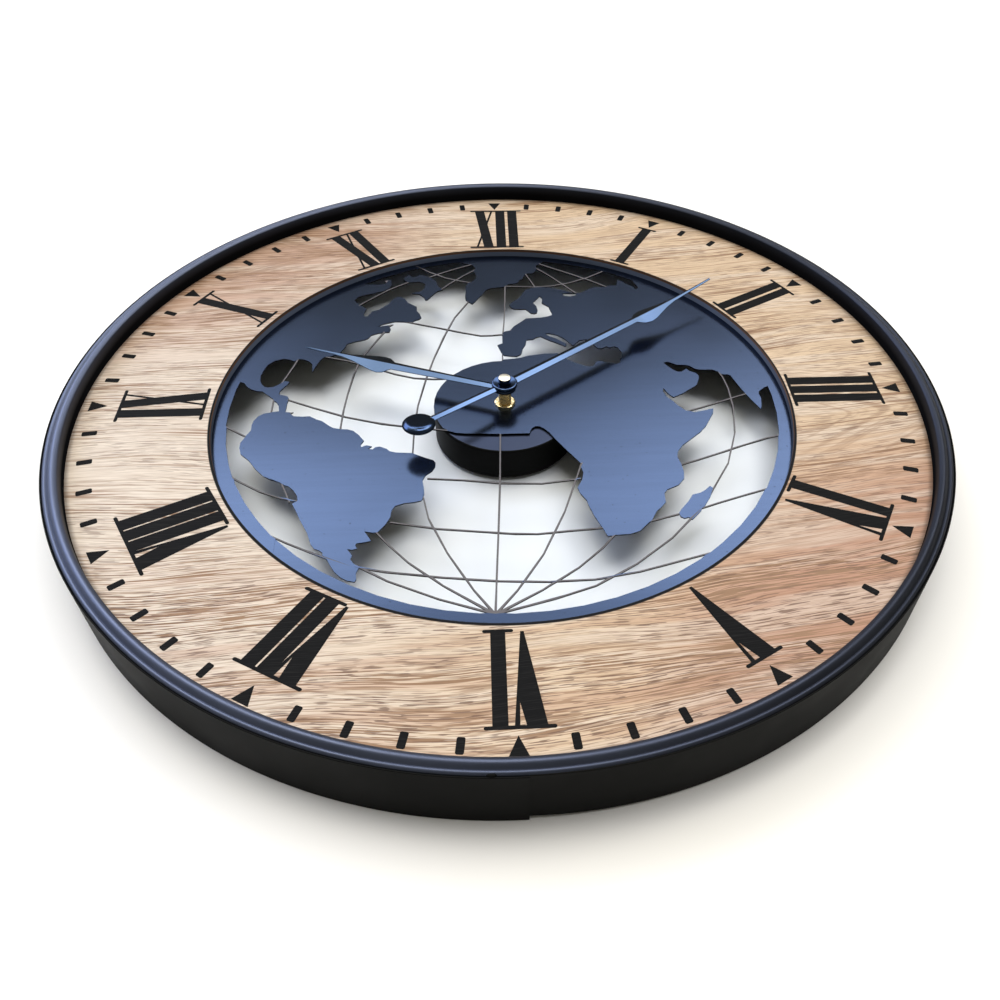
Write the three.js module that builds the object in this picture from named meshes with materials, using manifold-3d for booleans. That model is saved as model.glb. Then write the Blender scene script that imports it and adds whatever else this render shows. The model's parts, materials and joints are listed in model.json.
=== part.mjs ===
// World map wall clock: a sheet steel hoop with a beaded rim, an oak-faced dial ring with a round
// opening, a laser cut map plate behind the opening and a battery movement in a cup at its hub.
// Millimetres. The back plane is z = 0, +Z points out of the dial and +Y to 12 o'clock.

import * as THREE from 'three';
import { mergeVertices } from 'three/addons/utils/BufferGeometryUtils.js';
import Module from 'manifold-3d';

const wasm = await Module();
wasm.setup();

// Frame: side band and beaded rim
const outerRadius = 300;
const bandThickness = 0.9;
const bandRise = 10.4;
const rimWidth = 9.6;
const rimSheet = 1;
const rimRise = 13.2;
const innerBeadWidth = 5.8;
const beadHeight = 1.7;
const outerBeadHeight = 1.36;
const beadStep = 1.4;
const frameGap = 0.3;

// Dial board
const dialHeight = 33;
const boardThickness = 6;
const boardEdgeGap = 0.7;
const openingRadius = 200;

// Map plate
const plateThickness = 1.5;
const plateOverlap = 12;
const ringWidth = 8.5;
const ringRise = 2.5;
const lineWidth = 1.7;
const hubRadius = 50;
const equatorDrop = 25.4;
const gulfDrop = 26;

// Movement cup, washer and bush
const cupRadius = 50;
const cupSheet = 1;
const cupDepth = 23;
const washerThickness = 1;
const washerRadius = 9;
const bushRadius = 4.4;
const bushBore = 2.6;
const bushReach = 12.3;
const bushFlangeRadius = 6;
const bushFlange = 0.8;
const flangeGap = 0.4;
const nutAcrossFlats = 14;
const nutThickness = 2;
const fitGap = 0.1;

// Movement case
const caseWidth = 56;
const caseDepth = 15.5;
const caseWall = 1.5;
const caseFront = 1.2;
const caseCorner = 3;
const coverThickness = 1.2;
const partitionThickness = 0.8;
const trainPlateThickness = 1;
const pillarRadius = 1.6;
const pinRadius = 0.45;
const postRadius = 0.9;
const runningGap = 0.05;
const rootDepth = 0.5;
const trainPlateMargin = 4;
const pillarX = [-18, -9, 14];
const pillarY = [-7, 14];

// Battery and electrics
const batteryRadius = 7.25;
const batteryBody = 49;
const batteryNub = 1.5;
const batteryNubRadius = 2.75;
const batteryFloorGap = 0.3;
const contactThickness = 0.4;
const contactInset = 1.5;
const bayGap = 1;
const boardSheet = 1.2;
const boardGap = 1;
const crystalRadius = 1.4;
const crystalLength = 8;
const coilRadius = 3.4;
const coilLength = 25;
const coilGap = 0.5;
const bobbinFlange = 1;
const windingDepth = 0.5;
const coreWidth = 3;
const coreThickness = 1;
const statorThickness = 1.2;
const statorWall = 1.2;
const legWidth = 4;
const rotorRadius = 3;
const rotorLength = 2.2;
const rotorGap = 0.4;

// Gear teeth: counts and modules of the motion work and of the going train
const handModule = 0.5;
const trainModule = 0.4;
const cannonTeeth = 8;
const motionTeeth = 24;
const motionPinionTeeth = 8;
const hourTeeth = 32;
const settingTeeth = 12;
const pinionTeeth = 6;
const centreTeeth = 48;
const thirdTeeth = 45;
const secondsTeeth = 36;
const intermediateTeeth = 30;
const wheelThickness = 0.8;
const handWheelThickness = 1.2;
const levelGap = 0.8;
const wideLevelGap = 1;
const toothSpare = 0.2;

// Directions of the wheels from the axes that drive them, counted from +X
const motionDirection = THREE.MathUtils.degToRad(60);
const settingDirection = THREE.MathUtils.degToRad(-10);
const thirdDirection = Math.PI;
const intermediateDirection = THREE.MathUtils.degToRad(60);
const rotorDirection = THREE.MathUtils.degToRad(100);

// Setting knob
const knobRadius = 5;
const knobThickness = 2.8;
const knobLobes = 10;
const settingShaftRadius = 1.2;
const knobGap = 0.3;

// Hands, hubs and cap nut
const arborRadius = 1.5;
const arborSeatRadius = 1.2;
const arborHeadRadius = 2.1;
const arborHead = 0.4;
const tubeWall = 0.9;
const hourHubRadius = 8;
const minuteHubRadius = 9;
const hubThickness = 2.3;
const hubRim = 1.05;
const hubTopShare = 0.6;
const hubGap = 1;
const bushEndGap = 0.6;
const tubeProud = 0.2;
const hourCreaseHeight = 1.4;
const minuteCreaseHeight = 1.15;
const handDepth = 3;
const handSheet = 0.6;
const hourLength = 152;
const minuteLength = 208;
const minuteTipRise = 3;
const tailLength = 72;
const tailRise = 2;
const bobRadius = 11;
const bobFoot = 1.7;
const bobCrown = 0.7;
const bobTopShare = 0.72;
const capRadius = 4.2;
const capHeight = 4.2;
const capChamfer = 0.6;
const capDome = 0.12;
const capThread = 1.25;
const hourAngle = THREE.MathUtils.degToRad(290.3);
const minuteAngle = THREE.MathUtils.degToRad(52.9);

// Clips and hanger on the back
const clipCount = 6;
const clipWidth = 18;
const clipFoot = 14;
const clipLeg = 15;
const clipSheet = 1.2;
const hangerWidth = 40;
const hangerFoot = 26;
const hangerLeg = 14;
const hangerSheet = 1.5;
const keyholeRadius = 4.5;
const keySlotRadius = 2.2;
const keySlotRun = 8;
const keyholeEdge = 4;

// Facets of large and of small rounds
const largeRound = 60;
const cupRound = 26;
const smallRound = 18;
const pinRound = 10;
const cornerRound = 4;
const innerBeadFacets = 4;
const outerBeadFacets = 3;

// How far a cutting tool runs past the faces that it cuts
const overcut = 1;

// Heights that follow from the sizes above
const plateFront = dialHeight - boardThickness;
const plateBack = plateFront - plateThickness;
const cupFloor = plateBack - cupSheet;
const caseTop = cupFloor - washerThickness;
const caseFloor = caseTop - caseFront;
const caseRear = caseTop - caseDepth;
const coverRear = caseRear - coverThickness;
const bandInner = outerRadius - bandThickness;
const bushTop = plateFront + bushReach;
const hourHubBottom = bushTop + bushEndGap;
const minuteHubBottom = hourHubBottom + hubThickness + hubGap;
const minuteHubTop = minuteHubBottom + hubThickness;

// Coastlines, in thousandths of the opening's radius, x to 3 o'clock and y to 12 o'clock
const northAmerica = [
  [-1010, 165], [-957, 162], [-930, 150], [-917, 128], [-900, 112], [-880, 102], [-858, 98], [-845, 85],
  [-815, 52], [-800, 35], [-790, 15], [-782, -30], [-762, -30], [-762, 30], [-760, 55], [-767, 68],
  [-797, 78], [-797, 98], [-783, 122], [-775, 135], [-770, 150], [-785, 156], [-800, 145], [-810, 132],
  [-825, 122], [-840, 120], [-855, 125], [-867, 140], [-875, 160], [-878, 190], [-870, 230], [-862, 255],
  [-840, 280], [-808, 291], [-785, 285], [-768, 274], [-757, 286], [-735, 286], [-715, 272], [-701, 255],
  [-699, 230], [-695, 204], [-689, 225], [-683, 252], [-675, 275], [-665, 293], [-640, 302], [-612, 312],
  [-603, 328], [-592, 352], [-585, 378], [-560, 390], [-520, 403], [-508, 412], [-498, 432], [-470, 445],
  [-430, 450], [-426, 470], [-430, 487], [-416, 503], [-437, 499], [-458, 492], [-477, 486], [-465, 500],
  [-440, 512], [-412, 521], [-375, 518], [-350, 513], [-335, 526], [-320, 533], [-311, 545], [-318, 570],
  [-330, 592], [-332, 622], [-355, 641], [-367, 652], [-382, 682], [-395, 693], [-410, 695], [-430, 677],
  [-445, 645], [-480, 606], [-506, 594], [-514, 577], [-521, 561], [-533, 560], [-537, 578], [-533, 595],
  [-528, 612], [-545, 630], [-572, 657], [-580, 675], [-572, 695], [-550, 711], [-505, 727], [-466, 743],
  [-447, 762], [-439, 785], [-443, 826], [-455, 822], [-470, 816], [-461, 805], [-463, 794], [-500, 788],
  [-535, 792], [-570, 806], [-640, 790], [-780, 650], [-900, 470], [-980, 280],
];
const southAmerica = [
  [-782, -15], [-768, -20], [-745, -22], [-733, -21], [-742, -33], [-730, -45], [-700, -48], [-675, -47],
  [-650, -65], [-630, -75], [-605, -100], [-590, -112], [-565, -120], [-540, -122], [-520, -130],
  [-500, -152], [-480, -183], [-489, -203], [-486, -215], [-470, -207], [-450, -214], [-462, -226],
  [-448, -229], [-440, -218], [-425, -215], [-402, -227], [-390, -240], [-370, -247], [-314, -252],
  [-270, -278], [-245, -290], [-237, -303], [-238, -322], [-247, -342], [-268, -362], [-277, -385],
  [-272, -420], [-270, -450], [-278, -479], [-300, -485], [-330, -488], [-360, -500], [-369, -520],
  [-372, -550], [-385, -580], [-408, -614], [-422, -612], [-447, -606], [-437, -623], [-424, -646],
  [-442, -651], [-467, -655], [-470, -665], [-463, -676], [-478, -681], [-493, -677], [-482, -694],
  [-476, -705], [-480, -719], [-470, -735], [-452, -752], [-459, -775], [-456, -798], [-460, -808],
  [-482, -802], [-502, -789], [-522, -767], [-540, -735], [-552, -714], [-563, -704], [-564, -690],
  [-574, -680], [-592, -671], [-604, -652], [-620, -605], [-650, -545], [-665, -510], [-682, -476],
  [-664, -466], [-670, -442], [-683, -418], [-702, -397], [-730, -380], [-768, -360], [-790, -345],
  [-818, -313], [-848, -268], [-880, -235], [-889, -205], [-890, -178], [-878, -145], [-865, -115],
  [-867, -88], [-864, -65], [-852, -40], [-835, -27], [-800, -18],
];
const greenland = [
  [-180, 990], [-165, 960], [-140, 941], [-112, 935], [-98, 905], [-105, 880], [-95, 852], [-93, 832],
  [-105, 808], [-130, 788], [-139, 765], [-138, 720], [-140, 690], [-138, 665], [-122, 646], [-112, 635],
  [-100, 651], [-85, 680], [-70, 703], [-55, 735], [-38, 748], [-15, 752], [22, 758], [34, 774], [75, 786],
  [82, 803], [97, 817], [107, 848], [122, 858], [140, 857], [151, 870], [160, 900], [156, 915], [185, 945],
  [205, 985],
];
const baffinIsland = [
  [-393, 825], [-385, 846], [-372, 862], [-362, 847], [-348, 843], [-324, 860], [-300, 850], [-282, 836],
  [-268, 818], [-257, 800], [-251, 770], [-230, 743], [-252, 732], [-275, 698], [-288, 674], [-298, 668],
  [-306, 690], [-325, 712], [-356, 720], [-340, 729], [-322, 731], [-306, 752], [-302, 785], [-312, 800],
  [-332, 806], [-372, 800],
];
const oldWorld = [
  [1010, 80], [967, 70], [940, 56], [917, 36], [912, 20], [915, -5], [909, -48], [901, -68], [890, -45],
  [873, 0], [858, 42], [846, 80], [832, 130], [824, 138], [805, 138], [785, 160], [770, 169], [725, 170],
  [708, 176], [690, 195], [678, 201], [645, 203], [620, 220], [606, 223], [597, 216], [610, 195],
  [622, 178], [637, 163], [652, 159], [664, 167], [675, 178], [683, 165], [706, 149], [714, 136],
  [712, 118], [697, 80], [685, 68], [668, 57], [640, 33], [603, 12], [592, 22], [582, 42], [573, 66],
  [569, 48], [577, 17], [597, -12], [612, -38], [637, -67], [662, -75], [700, -66], [733, -56], [727, -82],
  [713, -108], [690, -150], [665, -181], [625, -218], [592, -248], [572, -278], [565, -305], [573, -345],
  [575, -380], [570, -412], [548, -440], [508, -460], [496, -477], [494, -518], [477, -539], [460, -556],
  [435, -600], [395, -640], [365, -651], [325, -653], [294, -656], [285, -628], [262, -570], [248, -520],
  [244, -498], [226, -465], [220, -440], [238, -403], [245, -370], [238, -320], [205, -267], [165, -200],
  [147, -165], [130, -143], [115, -131], [100, -130], [87, -142], [80, -160], [0, -100], [2, 258],
  [40, 262], [68, 268], [95, 279], [150, 289], [203, 291], [220, 286], [230, 270], [240, 251], [270, 228],
  [305, 207], [325, 204], [338, 210], [341, 226], [352, 236], [363, 238], [378, 230], [412, 218],
  [431, 220], [437, 232], [437, 246], [446, 258], [448, 288], [437, 320], [424, 328], [406, 320],
  [394, 328], [375, 316], [361, 318], [350, 334], [340, 368], [318, 376], [295, 371], [280, 352],
  [268, 338], [253, 362], [238, 385], [212, 409], [186, 420], [166, 421], [182, 402], [205, 388],
  [245, 348], [240, 334], [218, 350], [180, 376], [148, 402], [130, 395], [118, 384], [94, 381],
  [88, 349], [77, 326], [73, 302], [68, 288], [52, 276], [30, 279], [6, 284], [-5, 306], [-18, 351],
  [1, 361], [2, 428], [14, 440], [34, 446], [48, 472], [72, 497], [98, 525], [118, 527], [158, 530],
  [185, 537], [201, 546], [202, 560], [195, 588], [192, 606], [166, 633], [170, 668], [160, 683],
  [149, 664], [130, 636], [143, 611], [147, 582], [143, 563], [133, 558], [120, 561], [100, 590],
  [55, 592], [43, 602], [35, 622], [45, 640], [75, 670], [90, 700], [102, 728], [125, 741], [150, 751],
  [210, 744], [262, 722], [300, 703], [325, 701], [355, 722], [383, 742], [430, 743], [452, 755],
  [480, 752], [486, 780], [491, 797], [506, 785], [520, 765], [546, 744], [555, 723], [567, 728],
  [566, 746], [550, 790], [640, 800], [800, 640], [930, 430], [1000, 200],
];
// Lower edge of the hub disc: along the equator from the west and up to the gulf on the coast above
const equatorEdge = [[-173, -154], [-139, -159], [-18, -166], [80, -166], [80, -130]];
const whiteSea = [[250, 698], [310, 699], [306, 683], [285, 677], [262, 682]];
const madagascar = [
  [648, -449], [630, -467], [612, -479], [585, -487], [568, -515], [540, -549], [529, -566], [531, -583],
  [542, -591], [556, -587], [565, -598], [600, -560], [640, -500], [660, -464],
];

// Sea stretches of the graticule, each a smooth curve through its points, in the same units
const southPole = [-55, -945];
const graticule = [
  [southPole, [-300, -845], [-465, -742]],
  [[-735, -365], [-712, -415], [-690, -470]],
  [[-812, 60], [-811, -30]],
  [[-752, 300], [-775, 215], [-798, 140]],
  [[-565, 635], [-475, 725], [-430, 765], [-365, 808]],
  [[-300, 832], [-260, 857], [-200, 893], [-100, 942]],
  [southPole, [-250, -795], [-350, -690], [-415, -605]],
  [[-565, -135], [-562, 0], [-552, 110], [-535, 250], [-505, 330], [-445, 460]],
  [[-240, 742], [-180, 815], [-90, 902]],
  [southPole, [-140, -810], [-240, -600], [-272, -465]],
  [[-314, -265], [-313, -100], [-300, 40], [-270, 210], [-235, 360], [-190, 520], [-122, 662]],
  [southPole, [-48, -800], [-30, -450], [-20, -145]],
  [[-2, 235], [0, 300]],
  [[4, 415], [15, 560], [23, 768]],
  [southPole, [30, -830], [135, -640], [215, -410], [247, -310]],
  [[150, 735], [130, 800], [106, 866]],
  [southPole, [130, -830], [250, -730], [325, -640]],
  [[318, 690], [260, 770], [200, 850], [145, 912]],
  [southPole, [150, -885], [285, -828], [450, -710], [560, -595], [640, -490]],
  [[640, -490], [745, -310], [795, -130], [808, 20], [803, 110], [788, 170]],
  [[455, 732], [350, 815], [250, 880], [140, 955]],
  [[-735, -609], [-640, -665], [-545, -714]],
  [[-475, -744], [-350, -778], [-140, -810], [30, -828], [200, -830], [340, -812], [610, -735]],
  [[-920, -325], [-830, -390], [-750, -438], [-655, -468]],
  [[-370, -570], [-200, -608], [-30, -628], [50, -639], [150, -632], [300, -620]],
  [[420, -603], [545, -566]],
  [[595, -552], [700, -513], [860, -460]],
  [[-980, -72], [-865, -155]],
  [[-262, -377], [-100, -395], [60, -418], [235, -397]],
  [[560, -348], [650, -315], [750, -275], [860, -230], [965, -200]],
  [[-772, 53], [-650, -8], [-500, -75], [-350, -113], [-215, -137], [-140, -155]],
  [[620, -74], [720, -38], [810, 0], [880, 27]],
  [[-670, 303], [-550, 262], [-440, 207], [-350, 165], [-270, 150], [-185, 150]],
  [[-365, 518], [-290, 490], [-205, 460], [-100, 420], [-50, 415], [20, 423]],
  [[-362, 950], [-260, 857], [-180, 815], [-105, 790]],
  [[15, 763], [90, 757], [170, 752], [260, 770], [350, 808], [450, 875]],
];

// Half widths of the hands along their length, as distance from the axis, half width and crease height
const hourStations = [
  [0, 2.5, 1.2], [84.5, 4, 1.4], [86, 6, 1.6], [89, 8.4, 1.9], [93, 9.1, 2], [98, 8.4, 1.9],
  [106, 5.9, 1.6], [114, 3.4, 1.2], [122, 1.8, 0.8], [130, 1.1, 0.5], [hourLength, 0.6, 0.3],
];
const minuteStations = [
  [0, 3.8, 1.2], [126, 3, 1.2], [127.5, 4.6, 1.5], [131, 6.8, 1.8], [137, 8, 2], [143, 7.2, 1.9],
  [150, 5.2, 1.5], [158, 3.2, 1.1], [166, 1.9, 0.7], [178, 1.4, 0.5], [193, 1.1, 0.4],
  [minuteLength, 0.8, 0.3],
];
const tailStations = [[0, 2.8, 1], [tailLength, 2.3, 1]];
const tipRiseStart = 137;

// Materials
function finish(color, roughness, metalness) {
  return new THREE.MeshStandardMaterial({ color, roughness, metalness });
}

const blackPaint = finish(0x2a2c33, 0.45, 0.3);
const mapPaint = finish(0x353a49, 0.4, 0.3);
const oak = finish(0xc79d74, 0.6, 0);
const brass = finish(0xc9a24a, 0.25, 1);
const handGloss = finish(0x15171c, 0.2, 0.4);
const blackPlastic = finish(0x1c1c1e, 0.55, 0);
const whitePlastic = finish(0xe4e2da, 0.5, 0);
const rubber = finish(0x202020, 0.9, 0);
const steel = finish(0xb4b6b8, 0.35, 1);
const copper = finish(0xb26a3a, 0.35, 1);
const circuitGreen = finish(0x2f5a3c, 0.5, 0);
const batteryShell = finish(0x6a6d70, 0.4, 0.2);

const clock = new THREE.Group();

// Booleans on closed geometry

function solidOf(geometry) {
  const bare = new THREE.BufferGeometry();
  bare.setAttribute('position', geometry.getAttribute('position'));
  bare.setIndex(geometry.getIndex());
  const merged = mergeVertices(bare, 1e-4);
  const index = merged.getIndex().array;
  const triangles = [];
  for (let i = 0; i < index.length; i += 3) {
    const [a, b, c] = [index[i], index[i + 1], index[i + 2]];
    if (a !== b && b !== c && c !== a) triangles.push(a, b, c);
  }
  return new wasm.Manifold(new wasm.Mesh({
    numProp: 3,
    vertProperties: new Float32Array(merged.getAttribute('position').array),
    triVerts: new Uint32Array(triangles),
  }));
}

function geometryOf(solid) {
  const mesh = solid.getMesh();
  const geometry = new THREE.BufferGeometry();
  geometry.setAttribute('position', new THREE.BufferAttribute(new Float32Array(mesh.vertProperties), 3));
  geometry.setIndex(new THREE.BufferAttribute(new Uint32Array(mesh.triVerts), 1));
  geometry.computeVertexNormals();
  return geometry;
}

// Drops the points that a join or cut leaves along straight edges and inside flat faces
function tidied(solid) {
  return geometryOf(solid.asOriginal().simplify(0.005));
}

function fuse(...geometries) {
  return tidied(geometries.map(solidOf).reduce((whole, next) => whole.add(next)));
}

function cut(geometry, ...tools) {
  return tidied(tools.map(solidOf).reduce((whole, next) => whole.subtract(next), solidOf(geometry)));
}

// Basic forms about the Z axis

function revolve(profile, segments) {
  const points = profile.map(([radius, height]) => new THREE.Vector2(radius, height));
  const onAxis = profile[0][0] === 0;
  if (!onAxis) points.push(points[0].clone());
  const turned = new THREE.LatheGeometry(points, segments);
  turned.rotateX(Math.PI / 2);
  return geometryOf(solidOf(turned));
}

function tube(inner, outer, bottom, top, segments) {
  return revolve([[inner, bottom], [outer, bottom], [outer, top], [inner, top]], segments);
}

function rod(radius, bottom, top, segments) {
  return revolve([[0, bottom], [radius, bottom], [radius, top], [0, top]], segments);
}

function extrude(shape, bottom, top, curveSegments = pinRound) {
  const geometry = new THREE.ExtrudeGeometry(shape, {
    depth: top - bottom,
    bevelEnabled: false,
    curveSegments,
  });
  return geometry.translate(0, 0, bottom);
}

function polygon(points) {
  return new THREE.Shape(points.map(([x, y]) => new THREE.Vector2(x, y)));
}

function box(left, right, near, far, bottom, top) {
  const geometry = new THREE.BoxGeometry(right - left, far - near, top - bottom);
  return geometry.translate((left + right) / 2, (near + far) / 2, (bottom + top) / 2);
}

function roundedSquare(half, corner) {
  const shape = new THREE.Shape();
  const straight = half - corner;
  shape.absarc(straight, straight, corner, 0, Math.PI / 2);
  shape.absarc(-straight, straight, corner, Math.PI / 2, Math.PI);
  shape.absarc(-straight, -straight, corner, Math.PI, Math.PI * 1.5);
  shape.absarc(straight, -straight, corner, Math.PI * 1.5, Math.PI * 2);
  return shape;
}

function add(name, geometry, material, parent = clock) {
  const mesh = new THREE.Mesh(geometry, material);
  mesh.name = name;
  parent.add(mesh);
}

// Gears: straight-sided teeth with play at the pitch circle, pointed on wheels and flat on pinions.
// A tooth's points are a share of the pitch and a share of the tooth's height.

const toothTip = 0.9;
const toothRoot = 1.2;
const flatTooth = [[-0.29, 0], [-0.1, 1], [0.1, 1], [0.29, 0]];
const pointedTooth = [[-0.36, 0], [0, 1], [0.36, 0]];
const mostFlatTeeth = 16;

function gear(teeth, module, phase, bottom, top) {
  const rootRadius = (teeth / 2 - toothRoot) * module;
  const toothHeight = (toothTip + toothRoot) * module;
  const pitch = Math.PI * 2 / teeth;
  const tooth = teeth > mostFlatTeeth ? pointedTooth : flatTooth;
  const outline = [];
  for (let count = 0; count < teeth; count += 1) {
    for (const [pitchShare, heightShare] of tooth) {
      const angle = phase + (count + pitchShare) * pitch;
      const radius = rootRadius + heightShare * toothHeight;
      outline.push([radius * Math.cos(angle), radius * Math.sin(angle)]);
    }
  }
  return extrude(polygon(outline), bottom, top);
}

function meshDistance(teethA, teethB, module) {
  return (teethA + teethB) * module / 2;
}

// Phase of the gear that lies in a given direction from its partner, so that tooth faces gap
function meshPhase(teethA, phaseA, direction, teethB) {
  const halfPitch = Math.PI / teethB;
  return direction + Math.PI - (phaseA - direction) * teethA / teethB - halfPitch;
}

function offset(origin, direction, distance) {
  return [origin[0] + distance * Math.cos(direction), origin[1] + distance * Math.sin(direction)];
}

// Frame: side band, beaded rim and dial board

function beadPoints(from, to, base, height, steps) {
  const points = [];
  for (let i = 0; i <= steps; i += 1) {
    const along = i / steps;
    points.push([from + (to - from) * along, base + height * Math.sin(Math.PI * along)]);
  }
  return points;
}

function buildFrame() {
  const rimOuter = bandInner - frameGap;
  const rimInner = rimOuter - rimWidth;
  const groove = rimInner + innerBeadWidth;
  const beadBase = dialHeight + rimRise - beadHeight;
  const outerBase = beadBase - beadStep;
  const innerBead = beadPoints(rimInner, groove, beadBase, beadHeight, innerBeadFacets);
  const outerBead = beadPoints(groove, rimOuter, outerBase, outerBeadHeight, outerBeadFacets);
  const topProfile = [...innerBead, ...outerBead.slice(1)];
  const rimProfile = [
    [rimInner + rimSheet, dialHeight],
    [rimInner + rimSheet, beadBase - rimSheet],
    [rimOuter - rimSheet, outerBase - rimSheet],
    [rimOuter - rimSheet, dialHeight + frameGap],
    [rimOuter, dialHeight + frameGap],
    ...topProfile.reverse(),
    [rimInner, dialHeight],
  ];
  add('frame_rim', revolve(rimProfile, largeRound), blackPaint);
  add('side_band', tube(bandInner, outerRadius, 0, dialHeight + bandRise, largeRound), blackPaint);
  add('dial_board', tube(openingRadius, bandInner - boardEdgeGap, plateFront, dialHeight, largeRound), oak);
}

// Map plate: ring, hub disc, land and graticule in one sheet

const mapScale = openingRadius / 1000;
const scaled = (points) => points.map(([x, y]) => [x * mapScale, y * mapScale]);

function sheet(shape, curveSegments) {
  return extrude(shape, plateBack, plateFront, curveSegments);
}

function graticuleStrip(points) {
  const nodes = scaled(points).map(([x, y]) => new THREE.Vector2(x, y));
  const curve = new THREE.SplineCurve(nodes);
  const steps = nodes.length === 2 ? 1 : nodes.length;
  const left = [];
  const right = [];
  for (let i = 0; i <= steps; i += 1) {
    const at = curve.getPoint(i / steps);
    const along = curve.getTangent(i / steps);
    const side = new THREE.Vector2(-along.y, along.x).multiplyScalar(lineWidth / 2);
    left.push(at.clone().add(side));
    right.push(at.clone().sub(side));
  }
  return sheet(new THREE.Shape([...left, ...right.reverse()]));
}

function buildMapPlate() {
  const plateRadius = openingRadius + plateOverlap;
  const ring = new THREE.Shape();
  ring.absarc(0, 0, plateRadius, 0, Math.PI * 2);
  const seaCircle = new THREE.Path();
  seaCircle.absarc(0, ringRise, openingRadius - ringWidth, 0, Math.PI * 2);
  ring.holes.push(seaCircle);

  const hub = new THREE.Shape();
  const gulfAngle = Math.asin(gulfDrop / hubRadius);
  const equatorAngle = Math.asin(equatorDrop / hubRadius);
  hub.absarc(0, 0, hubRadius, -gulfAngle, Math.PI + equatorAngle);
  for (const [x, y] of scaled(equatorEdge)) hub.lineTo(x, y);

  const mainland = sheet(polygon(scaled(oldWorld)));
  const inlandSea = extrude(polygon(scaled(whiteSea)), plateBack - overcut, plateFront + overcut);
  const islands = [northAmerica, southAmerica, greenland, baffinIsland, madagascar];
  const land = islands.map((coast) => sheet(polygon(scaled(coast))));
  const lines = graticule.map(graticuleStrip);

  const whole = fuse(sheet(ring, largeRound / 2), sheet(hub, cupRound / 2), mainland, ...land, ...lines);
  const bushHole = rod(bushRadius + fitGap, plateBack - overcut, plateFront + overcut, smallRound);
  add('map_plate', cut(whole, bushHole, inlandSea), mapPaint);
}

// Cup, washer, bush and nut on the shaft axis

function buildHub() {
  const bushHoleRadius = bushRadius + fitGap;
  const cupProfile = [
    [bushHoleRadius, cupFloor],
    [cupRadius - cupSheet, cupFloor],
    [cupRadius - cupSheet, plateBack - cupDepth],
    [cupRadius, plateBack - cupDepth],
    [cupRadius, plateBack - cupSheet],
    [cupRadius - cupSheet, plateBack],
    [bushHoleRadius, plateBack],
  ];
  add('movement_cup', revolve(cupProfile, cupRound), blackPaint);
  add('rubber_washer', tube(bushHoleRadius, washerRadius, caseTop, cupFloor, smallRound), rubber);
  const bushProfile = [
    [bushBore, caseFloor - bushFlange],
    [bushFlangeRadius, caseFloor - bushFlange],
    [bushFlangeRadius, caseFloor],
    [bushRadius, caseFloor],
    [bushRadius, bushTop],
    [bushBore, bushTop],
  ];
  add('threaded_bush', revolve(bushProfile, smallRound), brass);
  const nutCorner = nutAcrossFlats / Math.sqrt(3);
  const hexagon = rod(nutCorner, plateFront, plateFront + nutThickness, 6).rotateZ(Math.PI / 6);
  const bore = rod(bushHoleRadius, plateFront - overcut, plateFront + nutThickness + overcut, smallRound);
  add('bush_nut', cut(hexagon, bore), brass);
}

// Places and levels of the wheels

const axis = [0, 0];
const motionAt = offset(axis, motionDirection, meshDistance(cannonTeeth, motionTeeth, handModule));
const settingAt = offset(motionAt, settingDirection, meshDistance(motionTeeth, settingTeeth, handModule));
const hourModule = meshDistance(cannonTeeth, motionTeeth, handModule) * 2 / (motionPinionTeeth + hourTeeth);
const thirdDistance = meshDistance(centreTeeth, pinionTeeth, trainModule);
const thirdModule = thirdDistance * 2 / (thirdTeeth + pinionTeeth);
const thirdAt = offset(axis, thirdDirection, thirdDistance);
const intermediateDistance = meshDistance(secondsTeeth, pinionTeeth, trainModule);
const intermediateAt = offset(axis, intermediateDirection, intermediateDistance);
const rotorDistance = meshDistance(intermediateTeeth, pinionTeeth, trainModule);
const rotorAt = offset(intermediateAt, rotorDirection, rotorDistance);

const hourLevel = caseFloor - bushFlange - flangeGap - handWheelThickness;
const motionLevel = hourLevel - levelGap / 2 - handWheelThickness;
const trainPlateTop = motionLevel - levelGap;
const trainPlateBottom = trainPlateTop - trainPlateThickness;
const centreLevel = trainPlateBottom - levelGap - wheelThickness;
const thirdLevel = centreLevel - wideLevelGap - wheelThickness;
const secondsLevel = thirdLevel - wideLevelGap - wheelThickness;
const intermediateLevel = secondsLevel - levelGap - wheelThickness;
const statorBottom = secondsLevel + fitGap;
const statorTop = statorBottom + statorThickness;

const trainTip = (teeth) => (teeth / 2 + toothTip) * trainModule;
const batteryAt = [0, -(trainTip(centreTeeth) + partitionThickness + batteryRadius + bayGap)];
const partitionNear = batteryAt[1] + batteryRadius + batteryFloorGap;
const statorHalf = rotorRadius + rotorGap + statorWall;
const coilAt = [rotorAt[0] - bobbinFlange, rotorAt[1] + statorHalf + coilRadius + coilGap];
const legInner = coilLength / 2 + coilGap;
const caseInner = caseWidth / 2 - caseWall;

function bored(geometry, radius, bottom, top) {
  return cut(geometry, rod(radius, bottom - overcut, top + overcut, pinRound));
}

function placed(geometry, [x, y]) {
  return geometry.translate(x, y, 0);
}

// Wheel with its pinion in front of it, or behind it, bored for its pin
function wheelAndPinion(wheel, pinion, bore, bottom, top) {
  return bored(fuse(wheel, pinion), bore, bottom, top);
}

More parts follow.
